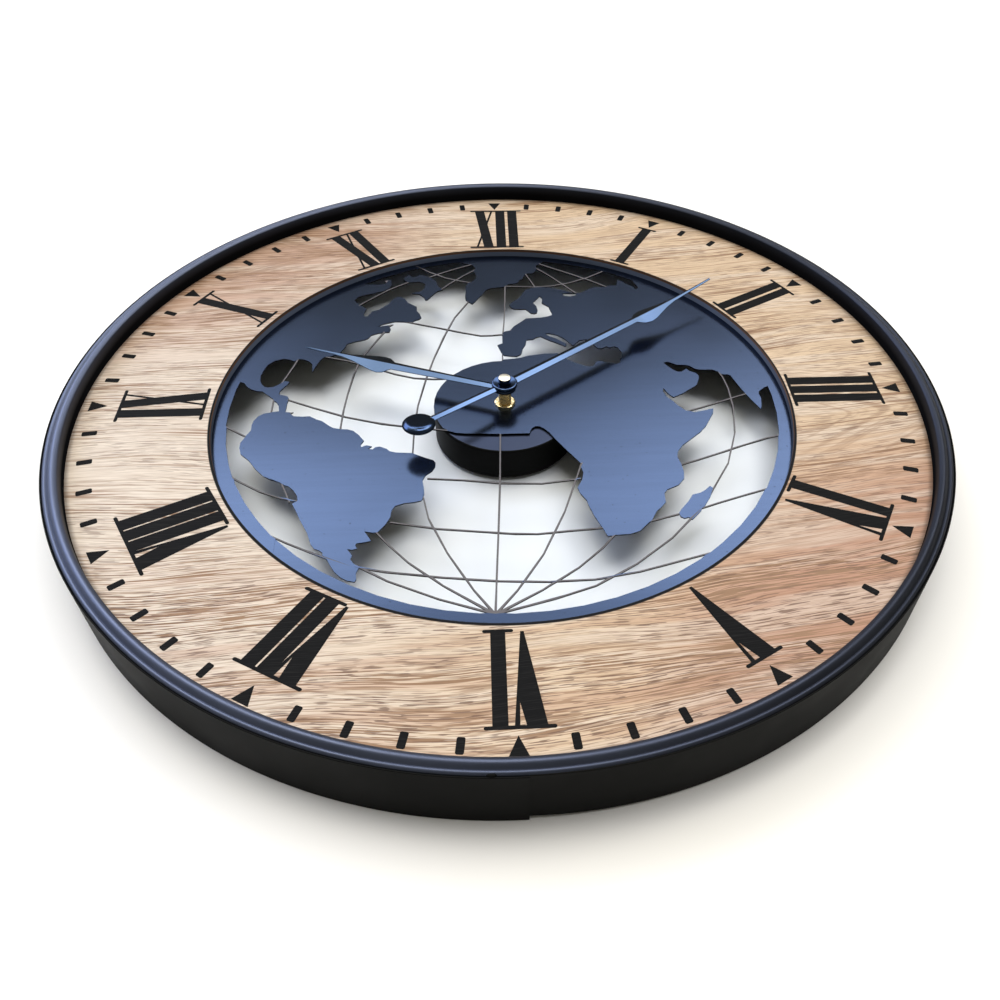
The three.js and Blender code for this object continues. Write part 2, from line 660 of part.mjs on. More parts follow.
function buildMotionWork() {
  const motionPhase = meshPhase(cannonTeeth, 0, motionDirection, motionTeeth);
  const settingPhase = meshPhase(motionTeeth, motionPhase, settingDirection, settingTeeth);
  const hourPhase = meshPhase(motionPinionTeeth, motionPhase, motionDirection + Math.PI, hourTeeth);
  const tubeBore = arborRadius + fitGap;
  const tubeRadius = tubeBore + tubeWall;
  const tubeTop = hourHubBottom + hubThickness + tubeProud;
  const motionTop = hourLevel + handWheelThickness + toothSpare;

  const headTop = centreLevel - fitGap;
  const seatTop = trainPlateBottom - levelGap / 2;
  const arborTop = minuteHubTop + capThread;
  const arbor = revolve([
    [0, headTop - arborHead],
    [arborHeadRadius, headTop - arborHead],
    [arborHeadRadius, headTop],
    [arborSeatRadius, headTop],
    [arborSeatRadius, seatTop],
    [arborRadius, seatTop],
    [arborRadius, arborTop],
    [0, arborTop],
  ], pinRound);
  const pinionBottom = motionLevel - toothSpare;
  const pinionTop = motionLevel + handWheelThickness + toothSpare;
  const cannon = gear(cannonTeeth, handModule, 0, pinionBottom, pinionTop);
  add('minute_arbor', fuse(arbor, cannon), steel);

  const motionWheelTop = motionLevel + handWheelThickness;
  const motionWheel = gear(motionTeeth, handModule, motionPhase, motionLevel, motionWheelTop);
  const motionPinion = gear(motionPinionTeeth, hourModule, motionPhase, motionLevel, motionTop);
  const motion = wheelAndPinion(motionWheel, motionPinion, postRadius + runningGap, motionLevel, motionTop);
  add('motion_wheel', placed(motion, motionAt), whitePlastic);

  const hourWheel = gear(hourTeeth, hourModule, hourPhase, hourLevel, hourLevel + handWheelThickness);
  const hourTube = rod(tubeRadius, hourLevel, tubeTop, smallRound);
  const hourSolid = fuse(hourWheel, hourTube);
  const hourBore = rod(tubeBore, hourLevel - overcut, tubeTop + overcut, smallRound);
  add('hour_wheel', cut(hourSolid, hourBore), whitePlastic);

  const knobTop = coverRear - knobGap;
  const knobModule = knobRadius / (knobLobes / 2 + toothTip);
  const knob = gear(knobLobes, knobModule, 0, knobTop - knobThickness, knobTop);
  const shaft = rod(settingShaftRadius, knobTop - knobThickness, motionLevel, pinRound);
  const settingPinion = gear(settingTeeth, handModule, settingPhase, pinionBottom, pinionTop);
  add('setting_knob', placed(fuse(knob, shaft, settingPinion), settingAt), blackPlastic);
  return { tubeRadius };
}

function buildGoingTrain() {
  const bore = pinRadius + runningGap;
  const thirdPhase = meshPhase(centreTeeth, 0, thirdDirection, pinionTeeth);
  const secondsPhase = meshPhase(thirdTeeth, thirdPhase, thirdDirection + Math.PI, pinionTeeth);
  const intermediatePhase = meshPhase(secondsTeeth, secondsPhase, intermediateDirection, pinionTeeth);
  const rotorPhase = meshPhase(intermediateTeeth, intermediatePhase, rotorDirection, pinionTeeth);

  const centre = gear(centreTeeth, trainModule, 0, centreLevel, centreLevel + wheelThickness);
  const centreBore = arborSeatRadius + fitGap;
  add('centre_wheel', bored(centre, centreBore, centreLevel, centreLevel + wheelThickness), whitePlastic);

  const thirdTop = centreLevel + wheelThickness + toothSpare;
  const third = wheelAndPinion(
    gear(thirdTeeth, thirdModule, thirdPhase, thirdLevel, thirdLevel + wheelThickness),
    gear(pinionTeeth, trainModule, thirdPhase, thirdLevel, thirdTop), bore, thirdLevel, thirdTop);
  add('third_wheel', placed(third, thirdAt), whitePlastic);

  const secondsTop = thirdLevel + wheelThickness + toothSpare;
  const seconds = wheelAndPinion(
    gear(secondsTeeth, trainModule, secondsPhase, secondsLevel, secondsLevel + wheelThickness),
    gear(pinionTeeth, thirdModule, secondsPhase, secondsLevel, secondsTop), bore, secondsLevel, secondsTop);
  add('seconds_wheel', seconds, whitePlastic);

  const intermediateTop = secondsLevel + wheelThickness + toothSpare;
  const intermediate = wheelAndPinion(
    gear(intermediateTeeth, trainModule, intermediatePhase, intermediateLevel,
      intermediateLevel + wheelThickness),
    gear(pinionTeeth, trainModule, intermediatePhase, intermediateLevel, intermediateTop),
    bore, intermediateLevel, intermediateTop);
  add('intermediate_wheel', placed(intermediate, intermediateAt), whitePlastic);

  const magnetBottom = (statorBottom + statorTop - rotorLength) / 2;
  const rotorBottom = intermediateLevel - toothSpare;
  const rotor = wheelAndPinion(
    rod(rotorRadius, magnetBottom, magnetBottom + rotorLength, smallRound),
    gear(pinionTeeth, trainModule, rotorPhase, rotorBottom, magnetBottom + toothSpare),
    bore, rotorBottom, magnetBottom + rotorLength);
  add('rotor', placed(rotor, rotorAt), steel);
}

// Movement case, cover, train plate, battery and electrics

function buildMovement() {
  const half = caseWidth / 2;
  const shell = extrude(roundedSquare(half, caseCorner), caseRear, caseTop, cornerRound);
  const inside = roundedSquare(caseInner, caseCorner - caseWall / 2);
  const hollow = extrude(inside, caseRear - overcut, caseFloor, cornerRound);
  const [farLeft, left, right] = pillarX;
  const [near, far] = pillarY;
  const pillarPlaces = [[farLeft, near], [right, near], [left, far], [right, far]];
  const pillars = pillarPlaces.map((place) => (
    placed(rod(pillarRadius, trainPlateTop, caseTop - rootDepth, pinRound), place)));
  const post = placed(rod(postRadius, motionLevel - levelGap / 2, caseTop - rootDepth, pinRound), motionAt);
  const partition = box(-half + rootDepth, half - rootDepth, partitionNear,
    partitionNear + partitionThickness, caseRear, caseFloor + rootDepth);
  const bushHole = rod(bushRadius + fitGap, caseFloor - overcut, caseTop + overcut, smallRound);
  add('front_case', cut(fuse(cut(shell, hollow), partition, post, ...pillars), bushHole), blackPlastic);

  const cover = extrude(roundedSquare(half, caseCorner), coverRear, caseRear, cornerRound);
  const bayEnd = caseInner - bayGap;
  const bay = box(-bayEnd, bayEnd, batteryAt[1] - batteryRadius - fitGap, partitionNear,
    coverRear - overcut, caseRear + overcut);
  const shaftHoleRadius = settingShaftRadius + fitGap;
  const knobHole = placed(rod(shaftHoleRadius, coverRear - overcut, caseRear + overcut, pinRound), settingAt);
  const pinTops = [
    [axis, centreLevel - levelGap],
    [intermediateAt, secondsLevel + wheelThickness + rootDepth],
    [rotorAt, statorTop + levelGap],
  ];
  const pinRoot = caseRear - rootDepth;
  const pins = pinTops.map(([place, top]) => placed(rod(pinRadius, pinRoot, top, pinRound), place));
  add('rear_cover', fuse(cut(cover, bay, knobHole), ...pins), blackPlastic);

  const plateLeft = thirdAt[0] - trainTip(centreTeeth);
  const plateNear = partitionNear + partitionThickness + rootDepth;
  const plateFar = far + pillarRadius + rootDepth;
  const plateSheet = box(plateLeft, settingAt[0] + trainPlateMargin, plateNear, plateFar,
    trainPlateBottom, trainPlateTop);
  const holeBottom = trainPlateBottom - overcut;
  const holeTop = trainPlateTop + overcut;
  const arborHole = rod(arborRadius + fitGap, holeBottom, holeTop, pinRound);
  const shaftHole = rod(shaftHoleRadius, holeBottom, holeTop, pinRound);
  const thirdPinRear = thirdLevel - levelGap / 2;
  const thirdPin = placed(rod(pinRadius, thirdPinRear, trainPlateTop - rootDepth, pinRound), thirdAt);
  add('train_plate', fuse(cut(plateSheet, arborHole, placed(shaftHole, settingAt)), thirdPin), whitePlastic);

  const batteryZ = caseFloor - batteryFloorGap - batteryRadius;
  const batteryStart = -(batteryBody + batteryNub) / 2;
  const battery = revolve([
    [0, batteryStart],
    [batteryRadius, batteryStart],
    [batteryRadius, batteryStart + batteryBody],
    [batteryNubRadius, batteryStart + batteryBody],
    [batteryNubRadius, batteryStart + batteryBody + batteryNub],
    [0, batteryStart + batteryBody + batteryNub],
  ], smallRound).rotateY(Math.PI / 2).translate(0, batteryAt[1], batteryZ);
  add('battery', battery, batteryShell);

  const contactHalf = batteryRadius - contactInset;
  const contactRear = caseRear + contactInset;
  const contactFront = caseFloor - contactInset;
  const positiveAt = -batteryStart + fitGap;
  add('positive_contact', box(positiveAt, positiveAt + contactThickness, batteryAt[1] - contactHalf,
    batteryAt[1] + contactHalf, contactRear, contactFront), steel);
  const springTip = batteryStart - fitGap;
  const springFoot = -caseInner + fitGap;
  const spring = new THREE.Shape();
  spring.moveTo(springFoot, contactRear);
  spring.lineTo(springFoot + contactThickness, contactRear);
  spring.lineTo(springTip, batteryZ);
  spring.lineTo(springFoot + contactThickness, contactFront);
  spring.lineTo(springFoot, contactFront);
  spring.lineTo(springTip - contactThickness, batteryZ);
  const springLeaf = extrude(spring, 0, contactHalf * 2).rotateX(Math.PI / 2);
  add('negative_contact', springLeaf.translate(0, batteryAt[1] + contactHalf, 0), steel);

  const boardTop = caseFloor;
  const boardEnd = caseInner - boardGap;
  const boardRight = left - pillarRadius - boardGap;
  const boardNear = far - pillarRadius - boardGap * 2;
  const circuit = box(-boardEnd, boardRight, boardNear, boardEnd, boardTop - boardSheet, boardTop);
  add('circuit_board', circuit, circuitGreen);
  const crystal = rod(crystalRadius, 0, crystalLength, pinRound).rotateY(Math.PI / 2);
  const crystalX = (boardRight - boardEnd - crystalLength) / 2;
  const crystalY = boardEnd - crystalRadius * 3;
  const crystalZ = boardTop - boardSheet - crystalRadius - fitGap;
  add('quartz_crystal', crystal.translate(crystalX, crystalY, crystalZ), steel);

  const coreZ = statorTop + coreThickness / 2;
  const legOuter = legInner + legWidth;
  const yoke = box(coilAt[0] - legOuter, coilAt[0] + legOuter, rotorAt[1] - statorHalf,
    rotorAt[1] + statorHalf, statorBottom, statorTop);
  const legs = [-1, 1].map((side) => box(
    coilAt[0] + (side < 0 ? -legOuter : legInner), coilAt[0] + (side < 0 ? -legInner : legOuter),
    rotorAt[1], coilAt[1] + coreWidth / 2, statorBottom, statorTop));
  const rotorHole = rod(rotorRadius + rotorGap, statorBottom - overcut, statorTop + overcut, smallRound);
  add('stator', cut(fuse(yoke, ...legs), placed(rotorHole, rotorAt)), steel);
  add('coil_core', box(coilAt[0] - legOuter, coilAt[0] + legOuter, coilAt[1] - coreWidth / 2,
    coilAt[1] + coreWidth / 2, statorTop, statorTop + coreThickness), steel);
  const woundRadius = coilRadius - windingDepth;
  const bobbin = revolve([
    [0, -coilLength / 2],
    [coilRadius, -coilLength / 2],
    [coilRadius, -coilLength / 2 + bobbinFlange],
    [woundRadius, -coilLength / 2 + bobbinFlange],
    [woundRadius, coilLength / 2 - bobbinFlange],
    [coilRadius, coilLength / 2 - bobbinFlange],
    [coilRadius, coilLength / 2],
    [0, coilLength / 2],
  ], smallRound).rotateY(Math.PI / 2).translate(coilAt[0], coilAt[1], coreZ);
  const coreHole = box(coilAt[0] - coilLength, coilAt[0] + coilLength, coilAt[1] - coreWidth / 2 - fitGap,
    coilAt[1] + coreWidth / 2 + fitGap, statorTop - fitGap, statorTop + coreThickness + fitGap);
  add('coil', cut(bobbin, coreHole), copper);
}

// Hands: creased sheet blades on round hubs, drawn towards +Y

// Loft of a bent sheet through stations of half width and crease height; lift bends it along its length
function blade(stations, creaseHeight, lift) {
  const positions = [];
  const index = [];
  for (const [distance, halfWidth, crease] of stations) {
    const top = creaseHeight + lift(distance);
    const ring = [[-halfWidth, top - crease], [0, top], [halfWidth, top - crease]];
    for (const [x, z] of ring) positions.push(x, distance, z);
    for (const [x, z] of ring.reverse()) positions.push(x, distance, z - handSheet);
  }
  const corners = 6;
  for (let station = 0; station < stations.length - 1; station += 1) {
    for (let corner = 0; corner < corners; corner += 1) {
      const a = station * corners + corner;
      const b = station * corners + (corner + 1) % corners;
      index.push(a, b, a + corners, b, b + corners, a + corners);
    }
  }
  const last = (stations.length - 1) * corners;
  index.push(0, 5, 1, 1, 5, 4, 1, 4, 2, 2, 4, 3);
  index.push(last, last + 1, last + 5, last + 1, last + 4, last + 5);
  index.push(last + 1, last + 2, last + 4, last + 2, last + 3, last + 4);
  const geometry = new THREE.BufferGeometry();
  geometry.setAttribute('position', new THREE.Float32BufferAttribute(positions, 3));
  geometry.setIndex(index);
  return geometry;
}

const straight = () => 0;

function risingTip(distance) {
  const beyond = Math.max(0, distance - tipRiseStart) / (minuteLength - tipRiseStart);
  return minuteTipRise * beyond * beyond;
}

function risingTail(distance) {
  return tailRise * distance / tailLength;
}

function dishedHub(bore, radius, bottom) {
  const top = bottom + hubThickness;
  return revolve([
    [bore, bottom],
    [radius, bottom],
    [radius, bottom + hubRim],
    [radius * hubTopShare, top],
    [bore, top],
  ], smallRound);
}

function buildHands(tubeRadius) {
  const hour = new THREE.Group();
  hour.rotation.z = -hourAngle;
  clock.add(hour);
  const hourCrease = hourHubBottom + hourCreaseHeight;
  const hourBore = tubeRadius + runningGap;
  const hourBlade = blade(hourStations, hourCrease, straight);
  const hourSolid = fuse(dishedHub(hourBore, hourHubRadius, hourHubBottom), hourBlade);
  const hourHole = rod(hourBore, hourHubBottom - handDepth, minuteHubBottom, smallRound);
  add('hour_hand', cut(hourSolid, hourHole), handGloss, hour);

  const minute = new THREE.Group();
  minute.rotation.z = -minuteAngle;
  clock.add(minute);
  const minuteCrease = minuteHubBottom + minuteCreaseHeight;
  const minuteBore = arborRadius + runningGap;
  const bobLevel = minuteCrease + tailRise;
  const bob = revolve([
    [0, bobLevel - bobFoot],
    [bobRadius, bobLevel - bobFoot],
    [bobRadius * bobTopShare, bobLevel],
    [0, bobLevel + bobCrown],
  ], smallRound).translate(0, -tailLength, 0);
  const tail = blade(tailStations, minuteCrease, risingTail).rotateZ(Math.PI);
  const minuteBlade = blade(minuteStations, minuteCrease, risingTip);
  const minuteSolid = fuse(dishedHub(minuteBore, minuteHubRadius, minuteHubBottom), minuteBlade, tail, bob);
  const minuteHole = rod(minuteBore, minuteHubBottom - handDepth, minuteHubTop + overcut, smallRound);
  add('minute_hand', cut(minuteSolid, minuteHole), handGloss, minute);

  const capBottom = minuteHubTop;
  const capTop = capBottom + capHeight;
  const boreTop = capBottom + capThread + fitGap * 2;
  const cap = revolve([
    [0, boreTop],
    [minuteBore, boreTop],
    [minuteBore, capBottom],
    [capRadius, capBottom],
    [capRadius, capTop - capChamfer],
    [capRadius - capChamfer, capTop - capDome],
    [0, capTop],
  ], smallRound);
  add('cap_nut', cap, brass);
}

// Back: clips that hold the board in the band, and the hanger

// Distance from the axis at which a flat plate of a given width still clears the band's inside
function flatReach(width) {
  const flatInside = bandInner * Math.cos(Math.PI / largeRound);
  return Math.sqrt(flatInside ** 2 - (width / 2) ** 2) - frameGap;
}

function buildBack() {
  const reach = flatReach(clipWidth);
  for (let i = 0; i < clipCount; i += 1) {
    const bent = polygon([
      [reach - clipFoot, plateFront],
      [reach - clipFoot, plateFront - clipSheet],
      [reach - clipSheet, plateFront - clipSheet],
      [reach - clipSheet, plateFront - clipLeg],
      [reach, plateFront - clipLeg],
      [reach, plateFront],
    ]);
    const clip = extrude(bent, -clipWidth / 2, clipWidth / 2).rotateX(Math.PI / 2);
    add(`board_clip_${i + 1}`, clip.rotateZ((i + 0.5) * Math.PI * 2 / clipCount - Math.PI / 2), steel);
  }

  const hangerReach = flatReach(hangerWidth);
  const foot = box(-hangerWidth / 2, hangerWidth / 2, hangerReach - hangerFoot, hangerReach, 0, hangerSheet);
  const leg = box(-hangerWidth / 2, hangerWidth / 2, hangerReach - hangerSheet, hangerReach, 0, hangerLeg);
  const keyAt = hangerReach - hangerFoot + keyholeRadius + keyholeEdge;
  const round = placed(rod(keyholeRadius, -overcut, hangerSheet + overcut, smallRound), [0, keyAt]);
  const slotTop = keyAt + keySlotRun;
  const slotEnd = placed(rod(keySlotRadius, -overcut, hangerSheet + overcut, pinRound), [0, slotTop]);
  const slot = box(-keySlotRadius, keySlotRadius, keyAt, slotTop, -overcut, hangerSheet + overcut);
  add('hanger_plate', cut(fuse(foot, leg), round, slot, slotEnd), steel);
}

buildFrame();
buildMapPlate();
buildHub();
const { tubeRadius } = buildMotionWork();
buildGoingTrain();
buildMovement();
buildHands(tubeRadius);
buildBack();

export default clock;
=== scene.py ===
"""Looks of the world map wall clock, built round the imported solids.

Lengths are metres; MM turns a size in millimetres into metres. The clock lies on its back: +Z points
out of the dial and +Y to 12 o'clock.
"""
import json
import math

import bmesh
import bpy
from mathutils import Euler, Matrix, Vector
from mathutils.bvhtree import BVHTree


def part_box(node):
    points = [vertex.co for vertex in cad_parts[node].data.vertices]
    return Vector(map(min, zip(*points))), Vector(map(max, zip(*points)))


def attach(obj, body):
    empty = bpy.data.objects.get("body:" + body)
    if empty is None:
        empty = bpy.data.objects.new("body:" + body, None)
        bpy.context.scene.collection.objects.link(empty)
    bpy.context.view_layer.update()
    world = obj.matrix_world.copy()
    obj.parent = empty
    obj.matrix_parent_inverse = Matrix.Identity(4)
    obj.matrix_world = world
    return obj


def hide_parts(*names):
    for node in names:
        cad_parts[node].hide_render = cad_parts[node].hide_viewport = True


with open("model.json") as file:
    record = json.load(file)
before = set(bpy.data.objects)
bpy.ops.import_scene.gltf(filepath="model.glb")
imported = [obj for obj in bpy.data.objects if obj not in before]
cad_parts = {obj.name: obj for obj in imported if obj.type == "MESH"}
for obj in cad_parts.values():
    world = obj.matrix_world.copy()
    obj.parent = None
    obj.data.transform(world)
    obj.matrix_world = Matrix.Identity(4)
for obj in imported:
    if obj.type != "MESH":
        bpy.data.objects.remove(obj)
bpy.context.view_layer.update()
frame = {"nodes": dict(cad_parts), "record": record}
nodes = frame["nodes"]

MM = 0.001
LARGE_ROUND = 240
SMALL_ROUND = 64
CLOCK = "clock_body"
FULL_TURN = 2 * math.pi


# Sizes read from the frame

def radii(node):
    """Least and greatest distance of a node's points from the dial's axis."""
    distances = [math.hypot(vertex.co.x, vertex.co.y) for vertex in nodes[node].data.vertices]
    return min(distances), max(distances)


def heights(node):
    """Lowest and highest point of a node."""
    low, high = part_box(node)
    return low.z, high.z


dial_bottom, dial_top = heights("dial_board")
opening_radius, board_radius = radii("dial_board")
rim_inner, rim_outer = radii("frame_rim")
rim_top = heights("frame_rim")[1]
band_outer = radii("side_band")[1]
band_top = heights("side_band")[1]
plate_bottom, plate_top = heights("map_plate")
plate_radius = radii("map_plate")[1]


# Camera: the photograph's place, direction and framing

CAMERA_PLACE = (-0.00947, -0.5059, 0.42736)
CAMERA_TURN_DEG = (42.504, -0.925, -3.316)
CAMERA_LENS_MM = 32.486
CAMERA_SENSOR_MM = 36.0
CAMERA_SHIFT = (-0.0422, 0.0484)
CAMERA_NEAR = 0.01


def make_camera():
    data = bpy.data.cameras.new("photo_camera")
    data.lens = CAMERA_LENS_MM
    data.sensor_width = CAMERA_SENSOR_MM
    data.sensor_fit = "HORIZONTAL"
    data.shift_x, data.shift_y = CAMERA_SHIFT
    data.clip_start = CAMERA_NEAR
    camera = bpy.data.objects.new("photo_camera", data)
    camera.location = CAMERA_PLACE
    camera.rotation_euler = Euler([math.radians(angle) for angle in CAMERA_TURN_DEG])
    bpy.context.scene.collection.objects.link(camera)
    bpy.context.scene.camera = camera


# Shader nodes

# Sockets of a Mix node that mixes colours
MIX_SHARE, MIX_FIRST, MIX_SECOND, MIX_RESULT = 0, 6, 7, 2


def is_socket(value):
    return isinstance(value, bpy.types.NodeSocket)


class Tree:
    """Short calls that add nodes to the node tree of a material or a world."""

    def __init__(self, owner):
        owner.use_nodes = True
        self.tree = owner.node_tree

    def add(self, kind, **settings):
        node = self.tree.nodes.new(kind)
        for key, value in settings.items():
            setattr(node, key, value)
        return node

    def feed(self, socket, value):
        if is_socket(value):
            self.tree.links.new(value, socket)
        else:
            socket.default_value = value

    def calculate(self, operation, *values):
        node = self.add("ShaderNodeMath", operation=operation)
        for socket, value in zip(node.inputs, values):
            self.feed(socket, value)
        return node.outputs[0]

    def multiply(self, first, *others):
        product = first
        for value in others:
            product = self.calculate("MULTIPLY", product, value)
        return product

    def ramp(self, value, low, high, to_low=0.0, to_high=1.0):
        """A smooth step between the results at a low and at a high value."""
        node = self.add("ShaderNodeMapRange", interpolation_type="SMOOTHSTEP")
        for key, item in (("Value", value), ("From Min", low), ("From Max", high),
                          ("To Min", to_low), ("To Max", to_high)):
            self.feed(node.inputs[key], item)
        return node.outputs["Result"]

    def mix(self, share, first, second):
        node = self.add("ShaderNodeMix", data_type="RGBA")
        self.feed(node.inputs[MIX_SHARE], share)
        for index, value in ((MIX_FIRST, first), (MIX_SECOND, second)):
            self.feed(node.inputs[index], value if is_socket(value) else (*value, 1))
        return node.outputs[MIX_RESULT]

    def separate(self, vector):
        node = self.add("ShaderNodeSeparateXYZ")
        self.feed(node.inputs[0], vector)
        return node.outputs


class Shade(Tree):
    """A Principled material, textured by the place on its object."""

    def __init__(self, name, **sockets):
        self.material = bpy.data.materials.new(name)
        super().__init__(self.material)
        self.shader = self.tree.nodes["Principled BSDF"]
        for socket, value in sockets.items():
            self.shader.inputs[socket.replace("_", " ")].default_value = value
        self.place = self.add("ShaderNodeTexCoord").outputs["Object"]
        self.x, self.y, self.z = self.separate(self.place)

    def noise_over(self, vector, detail):
        """A noise node with about one feature per unit of a vector."""
        node = self.add("ShaderNodeTexNoise")
        self.feed(node.inputs["Vector"], vector)
        node.inputs["Scale"].default_value = 1.0
        node.inputs["Detail"].default_value = detail
        return node

    def noise(self, scale, detail):
        """Noise with so many features per metre along X, Y and Z."""
        node = self.add("ShaderNodeMapping")
        self.feed(node.inputs["Vector"], self.place)
        node.inputs["Scale"].default_value = scale
        return self.noise_over(node.outputs[0], detail).outputs["Fac"]

    def even_noise(self, per_metre, detail):
        return self.noise((per_metre, per_metre, per_metre), detail)

    def radius(self):
        """Distance from the dial's axis."""
        squares = self.calculate("ADD", self.multiply(self.x, self.x), self.multiply(self.y, self.y))
        return self.calculate("SQRT", squares)

    def facing_up(self):
        """1 on faces that look up and 0 on upright ones."""
        return self.separate(self.add("ShaderNodeNewGeometry").outputs["Normal"])["Z"]

    def color(self, value):
        self.feed(self.shader.inputs["Base Color"], value)

    def rough(self, value):
        self.feed(self.shader.inputs["Roughness"], value)

    def bump(self, height, strength, distance):
        node = self.add("ShaderNodeBump")
        node.inputs["Strength"].default_value = strength
        node.inputs["Distance"].default_value = distance
        self.feed(node.inputs["Height"], height)
        self.feed(self.shader.inputs["Normal"], node.outputs["Normal"])


# Sprayed paint. Here and below, a tuple with the name of a span or a ramp holds a low and a high value
# and, where it goes on, the results at these two. A noise has its features per metre and its detail.

NOISE_MIDDLE = (0.3, 0.7)
NOISE_MEAN = 0.5
CLOUD = (14, 3)
CLOUD_SPAN = (0.35, 0.75)
PEEL = (900, 2)
PEEL_STRENGTH = 0.35
PEEL_DEPTH = 0.02 * MM
LIGHTER = 1.15
PAINT_LIFT = 0.001


def brighter(color, factor, lift=0.0):
    return tuple(min(1.0, part * factor + lift) for part in color)


def spray(shade, colors, rough_span, peel, peel_depth):
    """A fine orange peel, under a tone and a gloss that wander slowly."""
    cloud = shade.even_noise(*CLOUD)
    shade.rough(shade.ramp(cloud, *NOISE_MIDDLE, *rough_span))
    shade.color(shade.mix(shade.ramp(cloud, *CLOUD_SPAN), *colors))
    shade.bump(shade.even_noise(*peel), PEEL_STRENGTH, peel_depth)


def paint(name, color, roughness, spread=0.08, depth=PEEL_DEPTH, metallic=0.0, specular=0.5):
    shade = Shade(name, Metallic=metallic, Specular_IOR_Level=specular)
    colors = (color, brighter(color, LIGHTER, PAINT_LIFT))
    spray(shade, colors, (roughness - spread, roughness + spread), PEEL, depth)
    return shade.material


RIM_COLORS = ((0.005, 0.0053, 0.0065), (0.007, 0.0075, 0.009))
RIM_TINT = (0.57, 0.67, 1.0, 1.0)
RIM_IOR = 1.9
RIM_ROUGHNESS = (0.44, 0.52)
RIM_PEEL = (700, 2)
RIM_RIGHT_RAMP = (-0.25, 0.25, 0.92, 0.19)
RIM_TOP_RAMP = (-0.05, 0.2, 1.0, 0.75)
RIM_LEVEL_SPAN = (0.15, 0.6)


def make_rim():
    """Semi-gloss black, duller on upright walls and towards 12 and 3 o'clock."""
    shade = Shade("rim_paint", IOR=RIM_IOR, Specular_Tint=RIM_TINT)
    shine = shade.multiply(shade.ramp(shade.x, *RIM_RIGHT_RAMP), shade.ramp(shade.y, *RIM_TOP_RAMP),
                           shade.ramp(shade.facing_up(), *RIM_LEVEL_SPAN))
    shade.feed(shade.shader.inputs["Specular IOR Level"], shine)
    spray(shade, RIM_COLORS, RIM_ROUGHNESS, RIM_PEEL, PEEL_DEPTH)
    return shade.material


# Oak veneer

OAK_CREAM = (0.655, 0.57, 0.477)
OAK_TAN = (0.595, 0.447, 0.297)
OAK_RED = (0.41, 0.222, 0.14)
OAK_LINE = (0.25, 0.14, 0.072)
OAK_PORE = (0.11, 0.052, 0.03)
OAK_SPECULAR = 0.3
OAK_ROUGHNESS = (0.42, 0.58)
OAK_BUMP = 0.4
OAK_BUMP_DEPTH = 0.1 * MM
FIBRE_RELIEF = 0.3

# Grain noises: features per metre along and across the grain, seed and detail
STREAKS = (4, 70, 1.0, 3.0)
LONG_LINES = (13, 600, 2.0, 1.0)
RINGS = (2.5, 120, 3.0, 3.0)
FIBRES = (45, 1900, 4.0, 1.0)
INK_FIBRES = (45, 1500, 4.0, 2.0)
PORES = (62, 1050, 5.0, 1.0)
PORE_STRETCHES = (6, 60, 6.0, 2.0)
SHORT_LINES = (30, 1000, 7.0, 1.0)
GRAIN_BANDS = (1.5, 34, 8.0, 1.0)
GRAIN_ROUGHNESS = 0.55
SWAY_NOISE = ((3.0, 6.0, 1.0), 2)
SWAY = 0.05
CLIMB_RAMP = (-0.1, 0.4, 0.0, 0.05)

# Arches: level across the grain, and where they start and end along it
ARCHES = [(-0.06, 0.17, 0.4), (0.2, -0.27, -0.06)]
ARCH_ROUND = 0.004
ARCH_SLANT = 0.45
ARCH_FADE = 0.05
ARCH_SPREAD_SPAN = (0.055, 0.025)
ARCH_SHARE = 0.45
RING_SPAN = (0.46, 0.6)

PORE_SPAN = (0.54, 0.59)
PORE_STRETCH_SPAN = (0.3, 0.55)
PORE_BOTTOM_RAMP = (0.0, 1.0, 0.5, 0.75)
CREAM_LEFT_SPAN = (0.06, -0.2)
RED_CORNER_SPAN = (-0.004, -0.032)
RED_RIGHT_RAMP = (0.02, 0.12, 0.72, 1.0)
BOTTOM_SPAN = (-0.12, -0.2)
RED_STREAK_RAMP = (0.5, 0.38, 0.0, 0.4)
CREAM_STREAK_RAMP = (0.45, 0.6, 0.0, 0.5)
GRAIN_BAND_RAMP = (0.36, 0.6, 0.3, 1.4)
LONG_LINE_SPAN = (0.55, 0.6)
LONG_LINE_STREAK_RAMP = (0.35, 0.6, 0.85, 0.5)
SHORT_LINE_SPAN = (0.52, 0.57)
SHORT_LINE_RED_RAMP = (0.0, 1.0, 0.25, 0.7)
FIBRE_RAMP = (0.5, 0.62, 0.0, 0.3)

# Painted shade on the wood at the foot of the rim's wall
FOOT_SHADE_REACH = 3.5 * MM
FOOT_SHARE = 0.55
FOOT_PAINTED_SHADE_COLOR = (0.05, 0.03, 0.02)
# The opening's black line: the dark cut edge plus painted shade of the gap, broadest at 6 o'clock
EDGE_AND_GAP_SHADE_WIDTH_RAMP = (0.12, -0.16, 0.3 * MM, 1.9 * MM)
EDGE_FADE = 0.5 * MM
EDGE_AND_GAP_SHADE_COLOR = (0.006, 0.006, 0.007)
WALL_UPRIGHT_SPAN = (0.7, 0.3)
WALL_BROWN = (0.2, 0.105, 0.06)
WALL_NEAR = (0.05, 0.062, 0.09)
# Painted light: the lower wall's slate blue towards 12 o'clock
WALL_FAR_PAINTED_LIGHT = (0.21, 0.255, 0.36)
WALL_FAR_SPAN = (-0.05, 0.12)
WALL_BROWN_DEPTH = 1.8 * MM
WALL_LOW_DEPTH = 2.4 * MM


